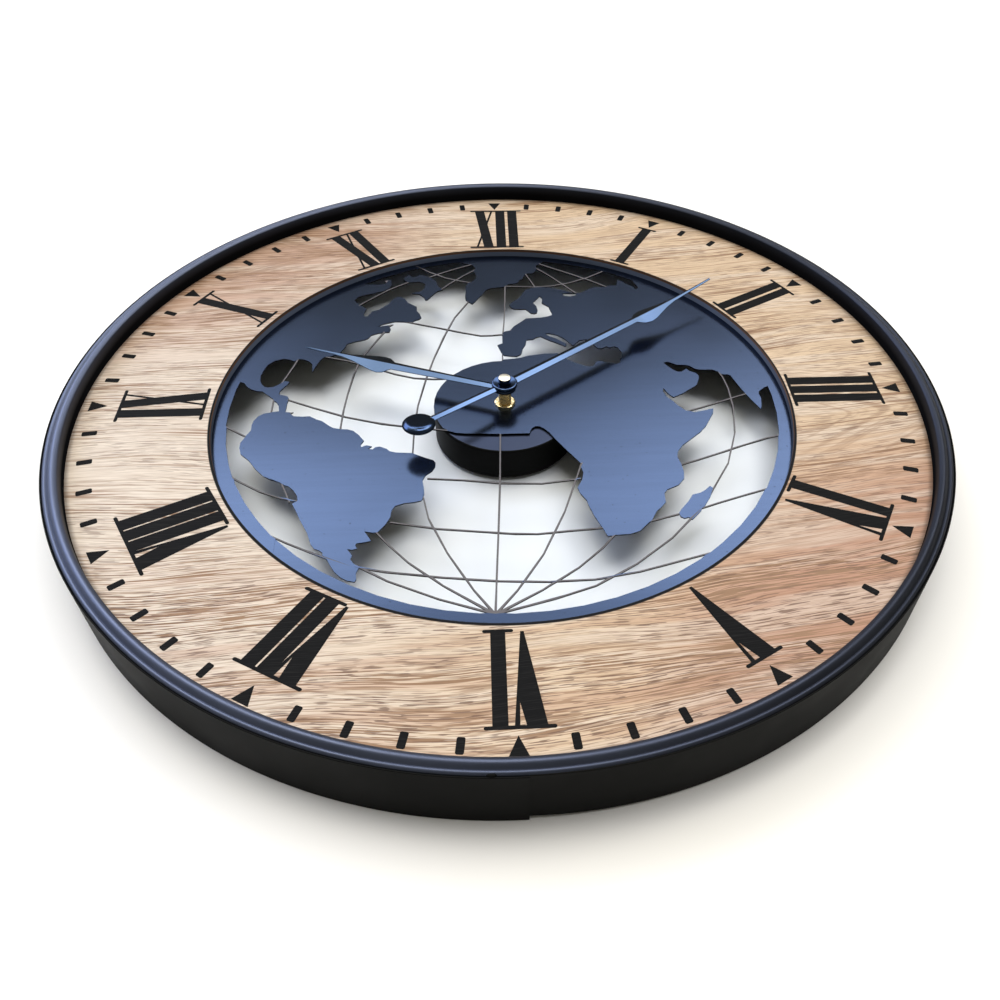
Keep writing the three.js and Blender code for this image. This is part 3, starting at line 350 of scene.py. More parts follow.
class Grain:
    """Noise drawn out along the wood's grain, whose lines sway and climb towards the right."""

    def __init__(self, shade):
        self.shade = shade
        wander = shade.calculate("SUBTRACT", shade.noise(*SWAY_NOISE), NOISE_MEAN)
        swayed = shade.calculate("ADD", shade.y, shade.multiply(wander, SWAY))
        self.lie = shade.calculate("SUBTRACT", swayed, shade.ramp(shade.x, *CLIMB_RAMP))

    def at(self, along, across, seed, detail, lie=None):
        """A grain noise; lie is the place across the grain, if it isn't the grain's own."""
        shade = self.shade
        vector = shade.add("ShaderNodeCombineXYZ")
        shade.feed(vector.inputs["X"], shade.multiply(shade.x, along))
        shade.feed(vector.inputs["Y"], shade.multiply(self.lie if lie is None else lie, across))
        shade.feed(vector.inputs["Z"], seed)
        node = shade.noise_over(vector.outputs[0], detail)
        node.inputs["Roughness"].default_value = GRAIN_ROUGHNESS
        return node.outputs["Fac"]

    def growth(self, level, start, end):
        """Growth rings cut at a slant: nested arches round a level, which point to the right."""
        shade = self.shade
        beside = shade.calculate("SUBTRACT", self.lie, level)
        squares = shade.calculate("MULTIPLY_ADD", beside, beside, ARCH_ROUND ** 2)
        rounded = shade.calculate("SQRT", squares)
        ring = shade.calculate("MULTIPLY_ADD", shade.x, ARCH_SLANT, rounded)
        reach = shade.multiply(shade.ramp(shade.x, start, start + ARCH_FADE),
                               shade.ramp(shade.x, end, end - ARCH_FADE),
                               shade.ramp(rounded, *ARCH_SPREAD_SPAN))
        return shade.multiply(shade.ramp(self.at(*RINGS, ring), *RING_SPAN), reach)

    def pores(self):
        """Short dark dashes, thick in some stretches and few in others."""
        dashes = self.shade.ramp(self.at(*PORES), *PORE_SPAN)
        return self.shade.multiply(dashes, self.shade.ramp(self.at(*PORE_STRETCHES), *PORE_STRETCH_SPAN))


def oak_face(shade, grain, streaks, fibres, pores):
    """Colour of the face: cream at the left, red in two corners, with lines in bands along the grain."""
    red = shade.ramp(shade.multiply(shade.x, shade.y), *RED_CORNER_SPAN)
    bottom = shade.ramp(shade.y, *BOTTOM_SPAN)
    bands = shade.ramp(grain.at(*GRAIN_BANDS), *GRAIN_BAND_RAMP)
    long_lines = shade.multiply(shade.ramp(grain.at(*LONG_LINES), *LONG_LINE_SPAN),
                                shade.ramp(streaks, *LONG_LINE_STREAK_RAMP), bands)
    reddest = shade.calculate("MAXIMUM", red, bottom)
    short_lines = shade.multiply(shade.ramp(grain.at(*SHORT_LINES), *SHORT_LINE_SPAN),
                                 shade.ramp(reddest, *SHORT_LINE_RED_RAMP), bands)

    body = shade.mix(shade.ramp(shade.x, *CREAM_LEFT_SPAN), OAK_TAN, OAK_CREAM)
    body = shade.mix(shade.multiply(red, shade.ramp(shade.x, *RED_RIGHT_RAMP)), body, OAK_RED)
    body = shade.mix(shade.multiply(bottom, shade.ramp(streaks, *RED_STREAK_RAMP)), body, OAK_RED)
    body = shade.mix(shade.ramp(streaks, *CREAM_STREAK_RAMP), body, OAK_CREAM)
    for level, start, end in ARCHES:
        body = shade.mix(shade.multiply(grain.growth(level, start, end), ARCH_SHARE), body, OAK_LINE)
    body = shade.mix(long_lines, body, OAK_LINE)
    body = shade.mix(short_lines, body, OAK_LINE)
    body = shade.mix(shade.ramp(fibres, *FIBRE_RAMP), body, OAK_LINE)
    return shade.mix(shade.multiply(pores, shade.ramp(bottom, *PORE_BOTTOM_RAMP)), body, OAK_PORE)


def make_oak():
    shade = Shade("oak_veneer", Specular_IOR_Level=OAK_SPECULAR)
    grain = Grain(shade)
    streaks = grain.at(*STREAKS)
    fibres = grain.at(*FIBRES)
    pores = grain.pores()
    body = oak_face(shade, grain, streaks, fibres, pores)
    # Painted shade: the wood darkens towards the foot of the rim's wall, where the wall shades it.
    foot = shade.ramp(shade.radius(), rim_inner - FOOT_SHADE_REACH, rim_inner, 0.0, FOOT_SHARE)
    body = shade.mix(foot, body, FOOT_PAINTED_SHADE_COLOR)
    # A matt black line edges the opening: the dark cut edge, widened towards 6 o'clock by painted shade of
    # the gap between board and plate.
    inward = shade.calculate("SUBTRACT", shade.radius(), shade.ramp(shade.y, *EDGE_AND_GAP_SHADE_WIDTH_RAMP))
    edge = shade.ramp(inward, opening_radius + EDGE_FADE, opening_radius)
    body = shade.mix(edge, body, EDGE_AND_GAP_SHADE_COLOR)
    # The opening's wall is brown above. Lower down it is near black at 6 o'clock and, as painted light,
    # slate blue at 12, where it matches the lit plate beside it.
    low = shade.ramp(shade.z, dial_top - WALL_BROWN_DEPTH, dial_top - WALL_LOW_DEPTH)
    low_wall_painted_light = shade.mix(shade.ramp(shade.y, *WALL_FAR_SPAN), WALL_NEAR, WALL_FAR_PAINTED_LIGHT)
    wall = shade.mix(low, WALL_BROWN, low_wall_painted_light)
    shade.color(shade.mix(shade.ramp(shade.facing_up(), *WALL_UPRIGHT_SPAN), body, wall))
    shade.rough(shade.calculate("MAXIMUM", shade.ramp(streaks, *NOISE_MIDDLE, *OAK_ROUGHNESS), edge))
    relief = shade.calculate("SUBTRACT", shade.multiply(fibres, FIBRE_RELIEF), pores)
    shade.bump(relief, OAK_BUMP, OAK_BUMP_DEPTH)
    return shade.material


INK_COLORS = ((0.0055, 0.0057, 0.006), (0.014, 0.0135, 0.0135))
INK_ROUGHNESS = 0.65
INK_SPECULAR = 0.06
INK_FIBRE_SPAN = (0.45, 0.75)
INK_BUMP = 0.4
INK_BUMP_DEPTH = 0.08 * MM


def make_ink():
    """Flat black print, through which the wood's fibres show."""
    shade = Shade("dial_ink", Roughness=INK_ROUGHNESS, Specular_IOR_Level=INK_SPECULAR)
    fibres = Grain(shade).at(*INK_FIBRES)
    shade.color(shade.mix(shade.ramp(fibres, *INK_FIBRE_SPAN), *INK_COLORS))
    shade.bump(fibres, INK_BUMP, INK_BUMP_DEPTH)
    return shade.material


# Metals, plastics and the floor

MAP_BLACK = (0.053, 0.075, 0.128)
MAP_LIGHTER = 1.06
MAP_ROLLED = ((18, 420, 18), 3)
MAP_SPECKS = (330, 1)
MAP_SPECK_RAMP = (0.72, 0.78, 0.0, 0.4)
MAP_SPECK_COLOR = (0.01, 0.013, 0.02)
MAP_GLOSS = (9, 2)
MAP_ROUGHNESS = (0.185, 0.225)
MAP_BUMP = 0.2
MAP_BUMP_DEPTH = 0.002 * MM


def make_map_paint():
    """Thin black lacquer on rolled sheet: faint streaks along X and a few specks."""
    shade = Shade("map_paint", Metallic=1.0)
    rolled = shade.noise(*MAP_ROLLED)
    body = shade.mix(shade.ramp(rolled, *NOISE_MIDDLE), MAP_BLACK, brighter(MAP_BLACK, MAP_LIGHTER))
    specks = shade.ramp(shade.even_noise(*MAP_SPECKS), *MAP_SPECK_RAMP)
    shade.color(shade.mix(specks, body, MAP_SPECK_COLOR))
    shade.rough(shade.ramp(shade.even_noise(*MAP_GLOSS), *NOISE_MIDDLE, *MAP_ROUGHNESS))
    shade.bump(rolled, MAP_BUMP, MAP_BUMP_DEPTH)
    return shade.material


BRASS_COLORS = ((0.96, 0.8, 0.46), (0.84, 0.63, 0.3))
BRASS_TURNED = ((300, 300, 4000), 2)
BRASS_CLOUD = (120, 3)
BRASS_ROUGHNESS = (0.18, 0.32)
BRASS_BUMP = 0.12
METAL_BUMP_DEPTH = 0.02 * MM


def make_brass():
    shade = Shade("turned_brass", Metallic=1.0)
    turned = shade.noise(*BRASS_TURNED)
    shade.rough(shade.ramp(turned, *NOISE_MIDDLE, *BRASS_ROUGHNESS))
    shade.color(shade.mix(shade.even_noise(*BRASS_CLOUD), *BRASS_COLORS))
    shade.bump(turned, BRASS_BUMP, METAL_BUMP_DEPTH)
    return shade.material


BRUSHED_LINES = ((60, 2200, 60), 3)
BRUSHED_ROUGHNESS = (0.26, 0.44)
BRUSHED_BUMP = 0.15


def make_brushed(name, color):
    shade = Shade(name, Metallic=1.0, Base_Color=(*color, 1))
    brushed = shade.noise(*BRUSHED_LINES)
    shade.rough(shade.ramp(brushed, *NOISE_MIDDLE, *BRUSHED_ROUGHNESS))
    shade.bump(brushed, BRUSHED_BUMP, METAL_BUMP_DEPTH)
    return shade.material


PLASTIC_TEXTURE = (1600, 2)
PLASTIC_CLOUD = (60, 2)
PLASTIC_SPREAD = 0.07
PLASTIC_BUMP = 0.2
PLASTIC_BUMP_DEPTH = 0.03 * MM


def make_plastic(name, color, roughness=0.5):
    shade = Shade(name)
    texture = shade.even_noise(*PLASTIC_TEXTURE)
    rough_span = (roughness - PLASTIC_SPREAD, roughness + PLASTIC_SPREAD)
    shade.rough(shade.ramp(texture, *NOISE_MIDDLE, *rough_span))
    shade.color(shade.mix(shade.even_noise(*PLASTIC_CLOUD), color, brighter(color, LIGHTER)))
    shade.bump(texture, PLASTIC_BUMP, PLASTIC_BUMP_DEPTH)
    return shade.material


FLOOR_ROUGHNESS = 0.6
FLOOR_CLOUD = (3, 2)
FLOOR_WARM = ((0.91, 0.905, 0.885), (0.89, 0.885, 0.865))
# Painted shade on the floor under the clock
FLOOR_UNDER_CLOCK_SHADE = (0.705, 0.748, 0.8)
FLOOR_SHADE_SPAN = (0.2, 0.26)


def make_floor():
    """White table, painted darker and bluer under the clock, where it is seen through the map, as painted
    shade.
    """
    shade = Shade("studio_floor", Roughness=FLOOR_ROUGHNESS)
    warm = shade.mix(shade.even_noise(*FLOOR_CLOUD), *FLOOR_WARM)
    shade.color(shade.mix(shade.ramp(shade.radius(), *FLOOR_SHADE_SPAN), FLOOR_UNDER_CLOCK_SHADE, warm))
    return shade.material


materials = {
    "black_paint": make_rim(),
    "band_paint": paint("band_paint", (0.003, 0.0032, 0.003), 0.55, spread=0.06, specular=0.05),
    "back_paint": paint("back_paint", (0.03, 0.025, 0.014), 0.7, specular=0.05),
    "map_paint": make_map_paint(),
    "cup_paint": paint("cup_paint", (0.034, 0.042, 0.068), 0.3, metallic=1.0),
    "line_paint": paint("line_paint", (0.1, 0.094, 0.1), 0.5, specular=0.3),
    "oak": make_oak(),
    "ink": make_ink(),
    "brass": make_brass(),
    "cap_brass": make_brushed("brushed_brass", (0.95, 0.88, 0.72)),
    "hand_gloss": paint("hand_enamel", (0.042, 0.068, 0.13), 0.17, spread=0.03, depth=0.006 * MM,
                        metallic=1.0),
    "black_plastic": make_plastic("black_plastic", (0.02, 0.02, 0.022)),
    "white_plastic": make_plastic("white_plastic", (0.72, 0.71, 0.66)),
    "rubber": make_plastic("washer_rubber", (0.016, 0.016, 0.016), 0.85),
    "steel": make_brushed("zinc_steel", (0.58, 0.59, 0.61)),
    "copper": make_brushed("copper_wire", (0.62, 0.3, 0.15)),
    "circuit": make_plastic("circuit_green", (0.03, 0.11, 0.05), 0.4),
    "battery_shell": paint("battery_shell", (0.14, 0.145, 0.15), 0.35),
    "floor": make_floor(),
}


# Mesh helpers

MERGE_DISTANCE = 1e-7
THIN_EDGE = 1e-8
SHARP_DEG = 32


def link_piece(name, mesh):
    piece = bpy.data.objects.new(name, mesh)
    bpy.context.scene.collection.objects.link(piece)
    return piece


def finish_mesh(name, draft, material, sharp_deg=SHARP_DEG):
    """A smooth piece, whose edges stay sharp where they bend by more than an angle."""
    bmesh.ops.remove_doubles(draft, verts=draft.verts, dist=MERGE_DISTANCE)
    bmesh.ops.dissolve_degenerate(draft, edges=draft.edges, dist=THIN_EDGE)
    mesh = bpy.data.meshes.new(name)
    draft.to_mesh(mesh)
    draft.free()
    for polygon in mesh.polygons:
        polygon.use_smooth = True
    mesh.set_sharp_from_angle(angle=math.radians(sharp_deg))
    mesh.materials.append(material)
    return link_piece(name, mesh)


def copy_node(node, name, material):
    mesh = nodes[node].data.copy()
    mesh.name = name
    mesh.materials.clear()
    mesh.materials.append(material)
    return link_piece(name, mesh)


def place(piece, body=CLOCK, stands_for=()):
    """Attaches a piece to the body it moves with and hides the solids it stands for."""
    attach(piece, body)
    if stands_for:
        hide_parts(*stands_for)


def add_ring(draft, profile, angle, centre=(0, 0)):
    """The points of a profile of (radius, height), turned to an angle about an upright axis."""
    cosine, sine = math.cos(angle), math.sin(angle)
    return [draft.verts.new((centre[0] + radius * cosine, centre[1] + radius * sine, height))
            for radius, height in profile]


def add_walls(draft, rows):
    """Faces between each row of points and the next; a row runs round a closed section."""
    for row, after in zip(rows, rows[1:]):
        for this in range(len(row)):
            following = (this + 1) % len(row)
            draft.faces.new((row[this], after[this], after[following], row[following]))


def add_lathe(draft, profile, segments, centre=(0, 0)):
    """A closed profile of (radius, height), anticlockwise, turned about an upright axis."""
    rings = [add_ring(draft, profile, FULL_TURN * step / segments, centre) for step in range(segments)]
    for ring, after in zip(rings, rings[1:] + rings[:1]):
        for this in range(len(profile)):
            following = (this + 1) % len(profile)
            starts_on_axis = profile[this][0] == 0
            ends_on_axis = profile[following][0] == 0
            if starts_on_axis and ends_on_axis:
                continue
            corners = [ring[this], after[this], after[following], ring[following]]
            if starts_on_axis:
                corners.remove(after[this])
            elif ends_on_axis:
                corners.remove(after[following])
            draft.faces.new(corners)


def lathe(name, profile, segments, material, sharp_deg=SHARP_DEG):
    draft = bmesh.new()
    add_lathe(draft, profile, segments)
    return finish_mesh(name, draft, material, sharp_deg)


def arc(centre, radius, start_deg, end_deg, steps):
    points = []
    for step in range(steps + 1):
        angle = math.radians(start_deg + (end_deg - start_deg) * step / steps)
        points.append((centre[0] + radius * math.cos(angle), centre[1] + radius * math.sin(angle)))
    return points


# Frame

INNER_BEAD_WIDTH = 5.8 * MM
BEAD_HEIGHT = 1.7 * MM
OUTER_BEAD_HEIGHT = 1.36 * MM
BEAD_STEP = 1.4 * MM
BEAD_STEPS = 10
# The outer bead starts at this point of its arch, and a slope joins it to the inner bead.
OUTER_BEAD_START = 2
RIM_SHEET = 1.0 * MM
RIM_LIFT = 0.3 * MM
RIM_SHARP_DEG = 50


def bead(start, end, base, height):
    return [(start + (end - start) * step / BEAD_STEPS,
             base + height * math.sin(math.pi * step / BEAD_STEPS))
            for step in range(BEAD_STEPS + 1)]


def build_rim():
    """A channel inside the band: its inner wall stands on the dial, its outer wall ends just above it."""
    groove = rim_inner + INNER_BEAD_WIDTH
    base = rim_top - BEAD_HEIGHT
    outer_base = base - BEAD_STEP
    top = bead(rim_inner, groove, base, BEAD_HEIGHT)
    top += bead(groove, rim_outer, outer_base, OUTER_BEAD_HEIGHT)[OUTER_BEAD_START:]
    profile = [
        (rim_inner + RIM_SHEET, dial_top),
        (rim_inner + RIM_SHEET, base - RIM_SHEET),
        (rim_outer - RIM_SHEET, outer_base - RIM_SHEET),
        (rim_outer - RIM_SHEET, dial_top + RIM_LIFT),
        (rim_outer, dial_top + RIM_LIFT),
        *reversed(top),
        (rim_inner, dial_top),
    ]
    rim = lathe("rim_skin", profile, LARGE_ROUND, materials["black_paint"], RIM_SHARP_DEG)
    place(rim, stands_for=["frame_rim"])


SEAM_X = 3 * MM
SEAM_RELAX_DEG = 14
SEAM_LIFT = 2.4 * MM
LAP_STEP = 0.9 * MM
# The sheet is thinner than the step, so the lapped ends stay apart.
BAND_SHEET = 0.9 * LAP_STEP
BAND_BEVEL = 0.25 * MM
BAND_SEGMENTS = 2 * LARGE_ROUND
WELD_X = -15 * MM
WELD_REACH = 2.0 * MM
WELD_HALF = (2.6 * MM, 1.2 * MM, 1.0 * MM)
WELD_SEGMENTS = (16, 10)


def build_band():
    """The hoop's ends lap at the seam: the left end lies outside, the right end is a step further in."""
    seam = -math.pi / 2 + math.asin(SEAM_X / band_outer)
    draft = bmesh.new()
    rows = []
    for step in range(BAND_SEGMENTS + 1):
        turn = FULL_TURN * step / BAND_SEGMENTS
        relax = math.exp(-math.degrees(turn) / SEAM_RELAX_DEG)
        outer = band_outer - LAP_STEP * relax
        bottom = SEAM_LIFT * relax
        profile = [(outer - BAND_SHEET, bottom), (outer, bottom), (outer, band_top - BAND_BEVEL),
                   (outer - BAND_BEVEL, band_top), (outer - BAND_SHEET, band_top)]
        rows.append(add_ring(draft, profile, seam + turn))
    add_walls(draft, rows)
    draft.faces.new(reversed(rows[0]))
    draft.faces.new(rows[-1])
    weld_place = Matrix.Translation((WELD_X, WELD_REACH - band_outer, band_top))
    weld = weld_place @ Matrix.Diagonal((*WELD_HALF, 1))
    around, up = WELD_SEGMENTS
    bmesh.ops.create_uvsphere(draft, u_segments=around, v_segments=up, radius=1.0, matrix=weld)
    band = finish_mesh("band_skin", draft, materials["band_paint"])
    place(band, stands_for=["side_band"])


BOARD_CHAMFER = 0.3 * MM


def build_board():
    profile = [
        (opening_radius, dial_bottom),
        (board_radius, dial_bottom),
        (board_radius, dial_top),
        (opening_radius + BOARD_CHAMFER, dial_top),
        (opening_radius, dial_top - BOARD_CHAMFER),
    ]
    board = lathe("oak_ring", profile, LARGE_ROUND, materials["oak"])
    place(board, stands_for=["dial_board"])


# Dial print. Numerals are drawn in millimetres, upright, with their feet towards the centre.

NUMERAL_FOOT = 205.5
STEM = 8.2
WIDE_STEM = 9.3
V_WIDTH = 17.0
V_FOOT_SPAN = (10.0, 11.9)
V_THICK_HEAD = 10.8
V_THIN_HEAD = 14.2
V_COUNTER_X = 13.8
V_COUNTER_DROP = 14
X_WIDTH = 15.6
X_THIN_START = 1
HAIRLINE = 1.8
SERIF = 2.3
SERIF_REACH = 4.4
SERIF_STEPS = 6
PRINT_SHIFT = (-1.3, -0.6)
PRINT_LIFT = 0.05 * MM
# Shapes of a numeral overlap, so each lies a little above the last.
LAYER_STEP = 0.002 * MM
HOUR_DEG = 30
MINUTE_DEG = 6
MINUTES = 60
# For each hour: its letters with their left edges, the head's radius, how far the feet lean to the right
NUMERALS = [
    ([("I", -4.2)], 266.3, 0.0),
    ([("I", -10.2), ("I", 0.2)], 266.3, 0.0),
    ([("I", -14.6), ("I", -4.6), ("I", 5.4)], 266.3, 0.0),
    ([("I", -14.8), ("V", -5.2)], 266.3, 2.5),
    ([("V", -10.0)], 264.4, 0.0),
    ([("V", -15.4), ("I", 4.7)], 265.2, 0.0),
    ([("V", -19.2), ("W", -3.0), ("W", 7.4)], 261.5, -4.3),
    ([("V", -25.5), ("W", -8.7), ("W", 1.4), ("W", 11.6)], 259.8, -3.5),
    ([("I", -13.0), ("X", -2.8)], 261.0, 0.0),
    ([("X", -8.0)], 266.3, 0.0),
    ([("X", -10.7), ("I", 6.0)], 263.3, 1.5),
    ([("X", -17.6), ("I", 0.5), ("I", 11.2)], 267.3, 0.0),
]
LETTER_WIDTH = {"I": STEM, "W": WIDE_STEM, "V": V_WIDTH, "X": X_WIDTH}


def letter_shapes(letter, head):
    """Outlines of a letter, with x from its left edge and y as distance from the dial's centre.

    W stands for a wide I.
    """
    foot = NUMERAL_FOOT
    width = LETTER_WIDTH[letter]
    if letter in "IW":
        return [[(0, foot), (width, foot), (width, head), (0, head)]]
    if letter == "V":
        foot_left, foot_right = V_FOOT_SPAN
        counter = (V_COUNTER_X, head - V_COUNTER_DROP)
        return [[(0, head), (foot_left, foot), (foot_right, foot), (width, head), (V_THIN_HEAD, head),
                 counter, (V_THICK_HEAD, head)]]
    thick = [(0, head), (width - STEM, foot), (width, foot), (STEM, head)]
    thin = [(X_THIN_START, foot), (X_THIN_START + HAIRLINE, foot), (width, head), (width - HAIRLINE, head)]
    return [thick, thin]


def serif_bar(left, right, level, up):
    """A flat bar with rounded ends; up is +1 for the head and -1 for the foot."""
    radius = SERIF / 2
    middle = level + up * radius / 2
    right_end = arc((right + SERIF_REACH - radius, middle), radius, -90, 90, SERIF_STEPS)
    left_end = arc((left - SERIF_REACH + radius, middle), radius, 90, 270, SERIF_STEPS)
    return right_end + left_end


def numeral_shapes(letters, head, lean):
    shapes = []
    feet = []
    for letter, left in letters:
        shapes += [[(left + x, y) for x, y in shape] for shape in letter_shapes(letter, head)]
        if letter != "V":
            feet.append((left, left + LETTER_WIDTH[letter]))
    last, last_left = letters[-1]
    shapes.append(serif_bar(letters[0][1], last_left + LETTER_WIDTH[last], head, 1))
    if feet:
        shapes.append(serif_bar(feet[0][0], feet[-1][1], NUMERAL_FOOT, -1))
    slope = lean / (head - NUMERAL_FOOT)
    return [[(x + slope * (head - y), y) for x, y in shape] for shape in shapes]


def add_print(draft, shape, clock_deg, lift):
    """Lays an outline in millimetres on the dial, turned clockwise from 12 o'clock."""
    angle = math.radians(clock_deg)
    cosine, sine = math.cos(angle), math.sin(angle)
    corners = []
    for x, y in shape:
        across = PRINT_SHIFT[0] + x * cosine + y * sine
        up = PRINT_SHIFT[1] + y * cosine - x * sine
        corners.append(draft.verts.new((across * MM, up * MM, dial_top + lift)))
    face = draft.faces.new(corners)
    face.normal_update()
    if face.normal.z < 0:
        face.normal_flip()


TICK_WIDTH = 4.5
TICK_SPAN = (271.5, 281.3)
TICK_CORNER = 0.7
TICKS_PER_HOUR = 5
HOUR_MARK_WIDTH = 10.9
HOUR_MARK_SPAN = (270.4, 282.6)


def tick_shape():
    half, corner = TICK_WIDTH / 2, TICK_CORNER
    near, far = TICK_SPAN
    return [(-half + corner, near), (half - corner, near), (half, near + corner), (half, far - corner),
            (half - corner, far), (-half + corner, far), (-half, far - corner), (-half, near + corner)]


def hour_mark_shape():
    half = HOUR_MARK_WIDTH / 2
    near, far = HOUR_MARK_SPAN
    return [(0, near), (half, far), (-half, far)]


def build_print():
    numerals = bmesh.new()
    for hour, numeral in enumerate(NUMERALS, start=1):
        for layer, shape in enumerate(numeral_shapes(*numeral)):
            add_print(numerals, shape, HOUR_DEG * hour, PRINT_LIFT + layer * LAYER_STEP)
    place(finish_mesh("dial_numerals", numerals, materials["ink"]))

    marks = bmesh.new()
    for minute in range(MINUTES):
        shape = tick_shape() if minute % TICKS_PER_HOUR else hour_mark_shape()
        add_print(marks, shape, MINUTE_DEG * minute, PRINT_LIFT)
    place(finish_mesh("minute_marks", marks, materials["ink"]))


# Map plate

STRIP_WIDTH = 2.4 * MM
STRIP_TRIM = 0.36 * MM
MAP_SHEET = 0.9 * MM
WIDTH_RAYS = 12
# Z part of the normal from which a face counts as level
LEVEL_FACE = 0.5
STEP_INSIDE = 0.01 * MM
KEY_DIGITS = 6
MAP_FACE, MAP_LINE, MAP_EDGE, MAP_BACK = range(4)


def sheet_width(tree, point):
    """Least distance between the plate's edges on either side of a point."""
    least = plate_radius
    for ray in range(WIDTH_RAYS):
        angle = math.pi * ray / WIDTH_RAYS
        way = Vector((math.cos(angle), math.sin(angle), 0))
        reach = [tree.ray_cast(point, way * sign)[3] or plate_radius for sign in (1, -1)]
        least = min(least, sum(reach))
    return least


def paint_map(mesh, tree, level):
    for polygon in mesh.polygons:
        if polygon.normal.z < -LEVEL_FACE:
            polygon.material_index = MAP_BACK
        elif polygon.normal.z < LEVEL_FACE:
            polygon.material_index = MAP_EDGE
        elif sheet_width(tree, Vector((polygon.center.x, polygon.center.y, level))) < STRIP_WIDTH:
            polygon.material_index = MAP_LINE
        else:
            polygon.material_index = MAP_FACE


def plan_key(point):
    """Points above each other share a key."""
    return round(point.x, KEY_DIGITS), round(point.y, KEY_DIGITS)


def trim_strips(mesh, tree, level):
    """Draws the walls of each thin strip towards each other, and the back up to a thinner sheet."""
    pushes = {}
    for polygon in mesh.polygons:
        if polygon.material_index != MAP_EDGE:
            continue
        inward = -polygon.normal
        start = Vector((polygon.center.x, polygon.center.y, level)) + inward * STEP_INSIDE
        across = tree.ray_cast(start, inward)[3]
        if across is None or across > STRIP_WIDTH:
            continue
        for index in polygon.vertices:
            key = plan_key(mesh.vertices[index].co)
            pushes[key] = pushes.get(key, Vector((0, 0, 0))) + inward
    for vertex in mesh.vertices:
        push = pushes.get(plan_key(vertex.co))
        if push is not None and push.length > 0:
            vertex.co += push.normalized() * STRIP_TRIM
        if vertex.co.z < level:
            vertex.co.z = plate_top - MAP_SHEET


def build_map():
    """The plate's own mesh, with its thin graticule strips, cut edges and back painted apart."""
    plate = copy_node("map_plate", "map_skin", materials["map_paint"])
    mesh = plate.data
    for name in ("line_paint", "band_paint", "back_paint"):
        mesh.materials.append(materials[name])
    tree = BVHTree.FromPolygons([vertex.co for vertex in mesh.vertices],
                                [polygon.vertices for polygon in mesh.polygons])
    level = (plate_bottom + plate_top) / 2
    paint_map(mesh, tree, level)
    trim_strips(mesh, tree, level)
    place(plate, stands_for=["map_plate"])


# Hub: cup, bush, nut and cap

def paint_tops(piece, material, facing):
    """Gives a second material to the faces that look up."""
    piece.data.materials.append(material)
    for polygon in piece.data.polygons:
        polygon.material_index = int(polygon.normal.z > facing)


CUP_SHEET = 1.0 * MM
CUP_ROUND = 1.6 * MM
CUP_INNER_ROUND = 0.8 * MM
CUP_ROUND_STEPS = 6
CUP_SEGMENTS = 120
CUP_TOP_FACING = 0.98
cup_bore = radii("movement_cup")[0]


def build_cup():
    bottom, top = heights("movement_cup")
    radius = radii("movement_cup")[1]
    corner = arc((radius - CUP_ROUND, top - CUP_ROUND), CUP_ROUND, 0, 90, CUP_ROUND_STEPS)
    profile = [(cup_bore, top - CUP_SHEET), (radius - CUP_SHEET, top - CUP_SHEET - CUP_INNER_ROUND),
               (radius - CUP_SHEET, bottom), (radius, bottom), *corner, (cup_bore, top)]
    cup = lathe("cup_skin", profile, CUP_SEGMENTS, materials["band_paint"])
    paint_tops(cup, materials["cup_paint"], CUP_TOP_FACING)
    place(cup, stands_for=["movement_cup"])


BUSH_FIT = 0.1 * MM
BUSH_BEVEL = 0.3 * MM
FLANGE_THICKNESS = 0.8 * MM
THREAD_PITCH = 0.75 * MM
THREAD_DEPTH = 0.22 * MM
# Crest, root and crest: share of the pitch, depth below the crest
THREAD_STATIONS = ((0.15, 0.0), (0.55, THREAD_DEPTH), (0.95, 0.0))
THREAD_SHARP_DEG = 60


def build_bush():
    bottom, top = heights("threaded_bush")
    bore, flange_radius = radii("threaded_bush")
    radius = cup_bore - BUSH_FIT
    flange_top = bottom + FLANGE_THICKNESS
    thread = []
    for turn in range(int((top - plate_top) / THREAD_PITCH)):
        start = plate_top + turn * THREAD_PITCH
        thread += [(radius - depth, start + THREAD_PITCH * share) for share, depth in THREAD_STATIONS]
    profile = [(bore, bottom), (flange_radius, bottom), (flange_radius, flange_top), (radius, flange_top),
               *thread, (radius - BUSH_BEVEL, top), (bore, top)]
    bush = lathe("bush_skin", profile, SMALL_ROUND, materials["brass"], THREAD_SHARP_DEG)
    place(bush, stands_for=["threaded_bush"])


NUT_STEPS = 96
NUT_SIDE = math.pi / 3
NUT_CHAMFER = 0.45 * MM
NUT_ROUND = 1.04


def build_nut():
    """A thin hexagon nut with corners on the X axis, chamfered round its upper edge."""
    low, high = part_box("bush_nut")
    bore = radii("bush_nut")[0]
    half_flats = high.y
    corner = half_flats * NUT_ROUND
    draft = bmesh.new()
    rings = []
    for step in range(NUT_STEPS):
        angle = FULL_TURN * step / NUT_STEPS
        from_flat = angle % NUT_SIDE - NUT_SIDE / 2
        reach = min(half_flats / math.cos(from_flat), corner)
        profile = [(bore, low.z), (reach, low.z), (reach, high.z - NUT_CHAMFER),
                   (min(reach, half_flats) - NUT_CHAMFER, high.z), (bore, high.z)]
        rings.append(add_ring(draft, profile, angle))
    add_walls(draft, rings + rings[:1])
    place(finish_mesh("bush_nut_skin", draft, materials["brass"]), stands_for=["bush_nut"])


CAP_BORE = 1.55 * MM
CAP_BORE_DEPTH = 1.4 * MM
CAP_BEVEL = 0.2 * MM
CAP_EDGE = 0.5 * MM
CAP_EDGE_END_DEG = 80
CAP_EDGE_STEPS = 5
CAP_DOME = 0.35 * MM
CAP_SHOULDER_SHARE = 0.5
CAP_SHOULDER_DROP = 0.25
CAP_TOP_FACING = 0.6


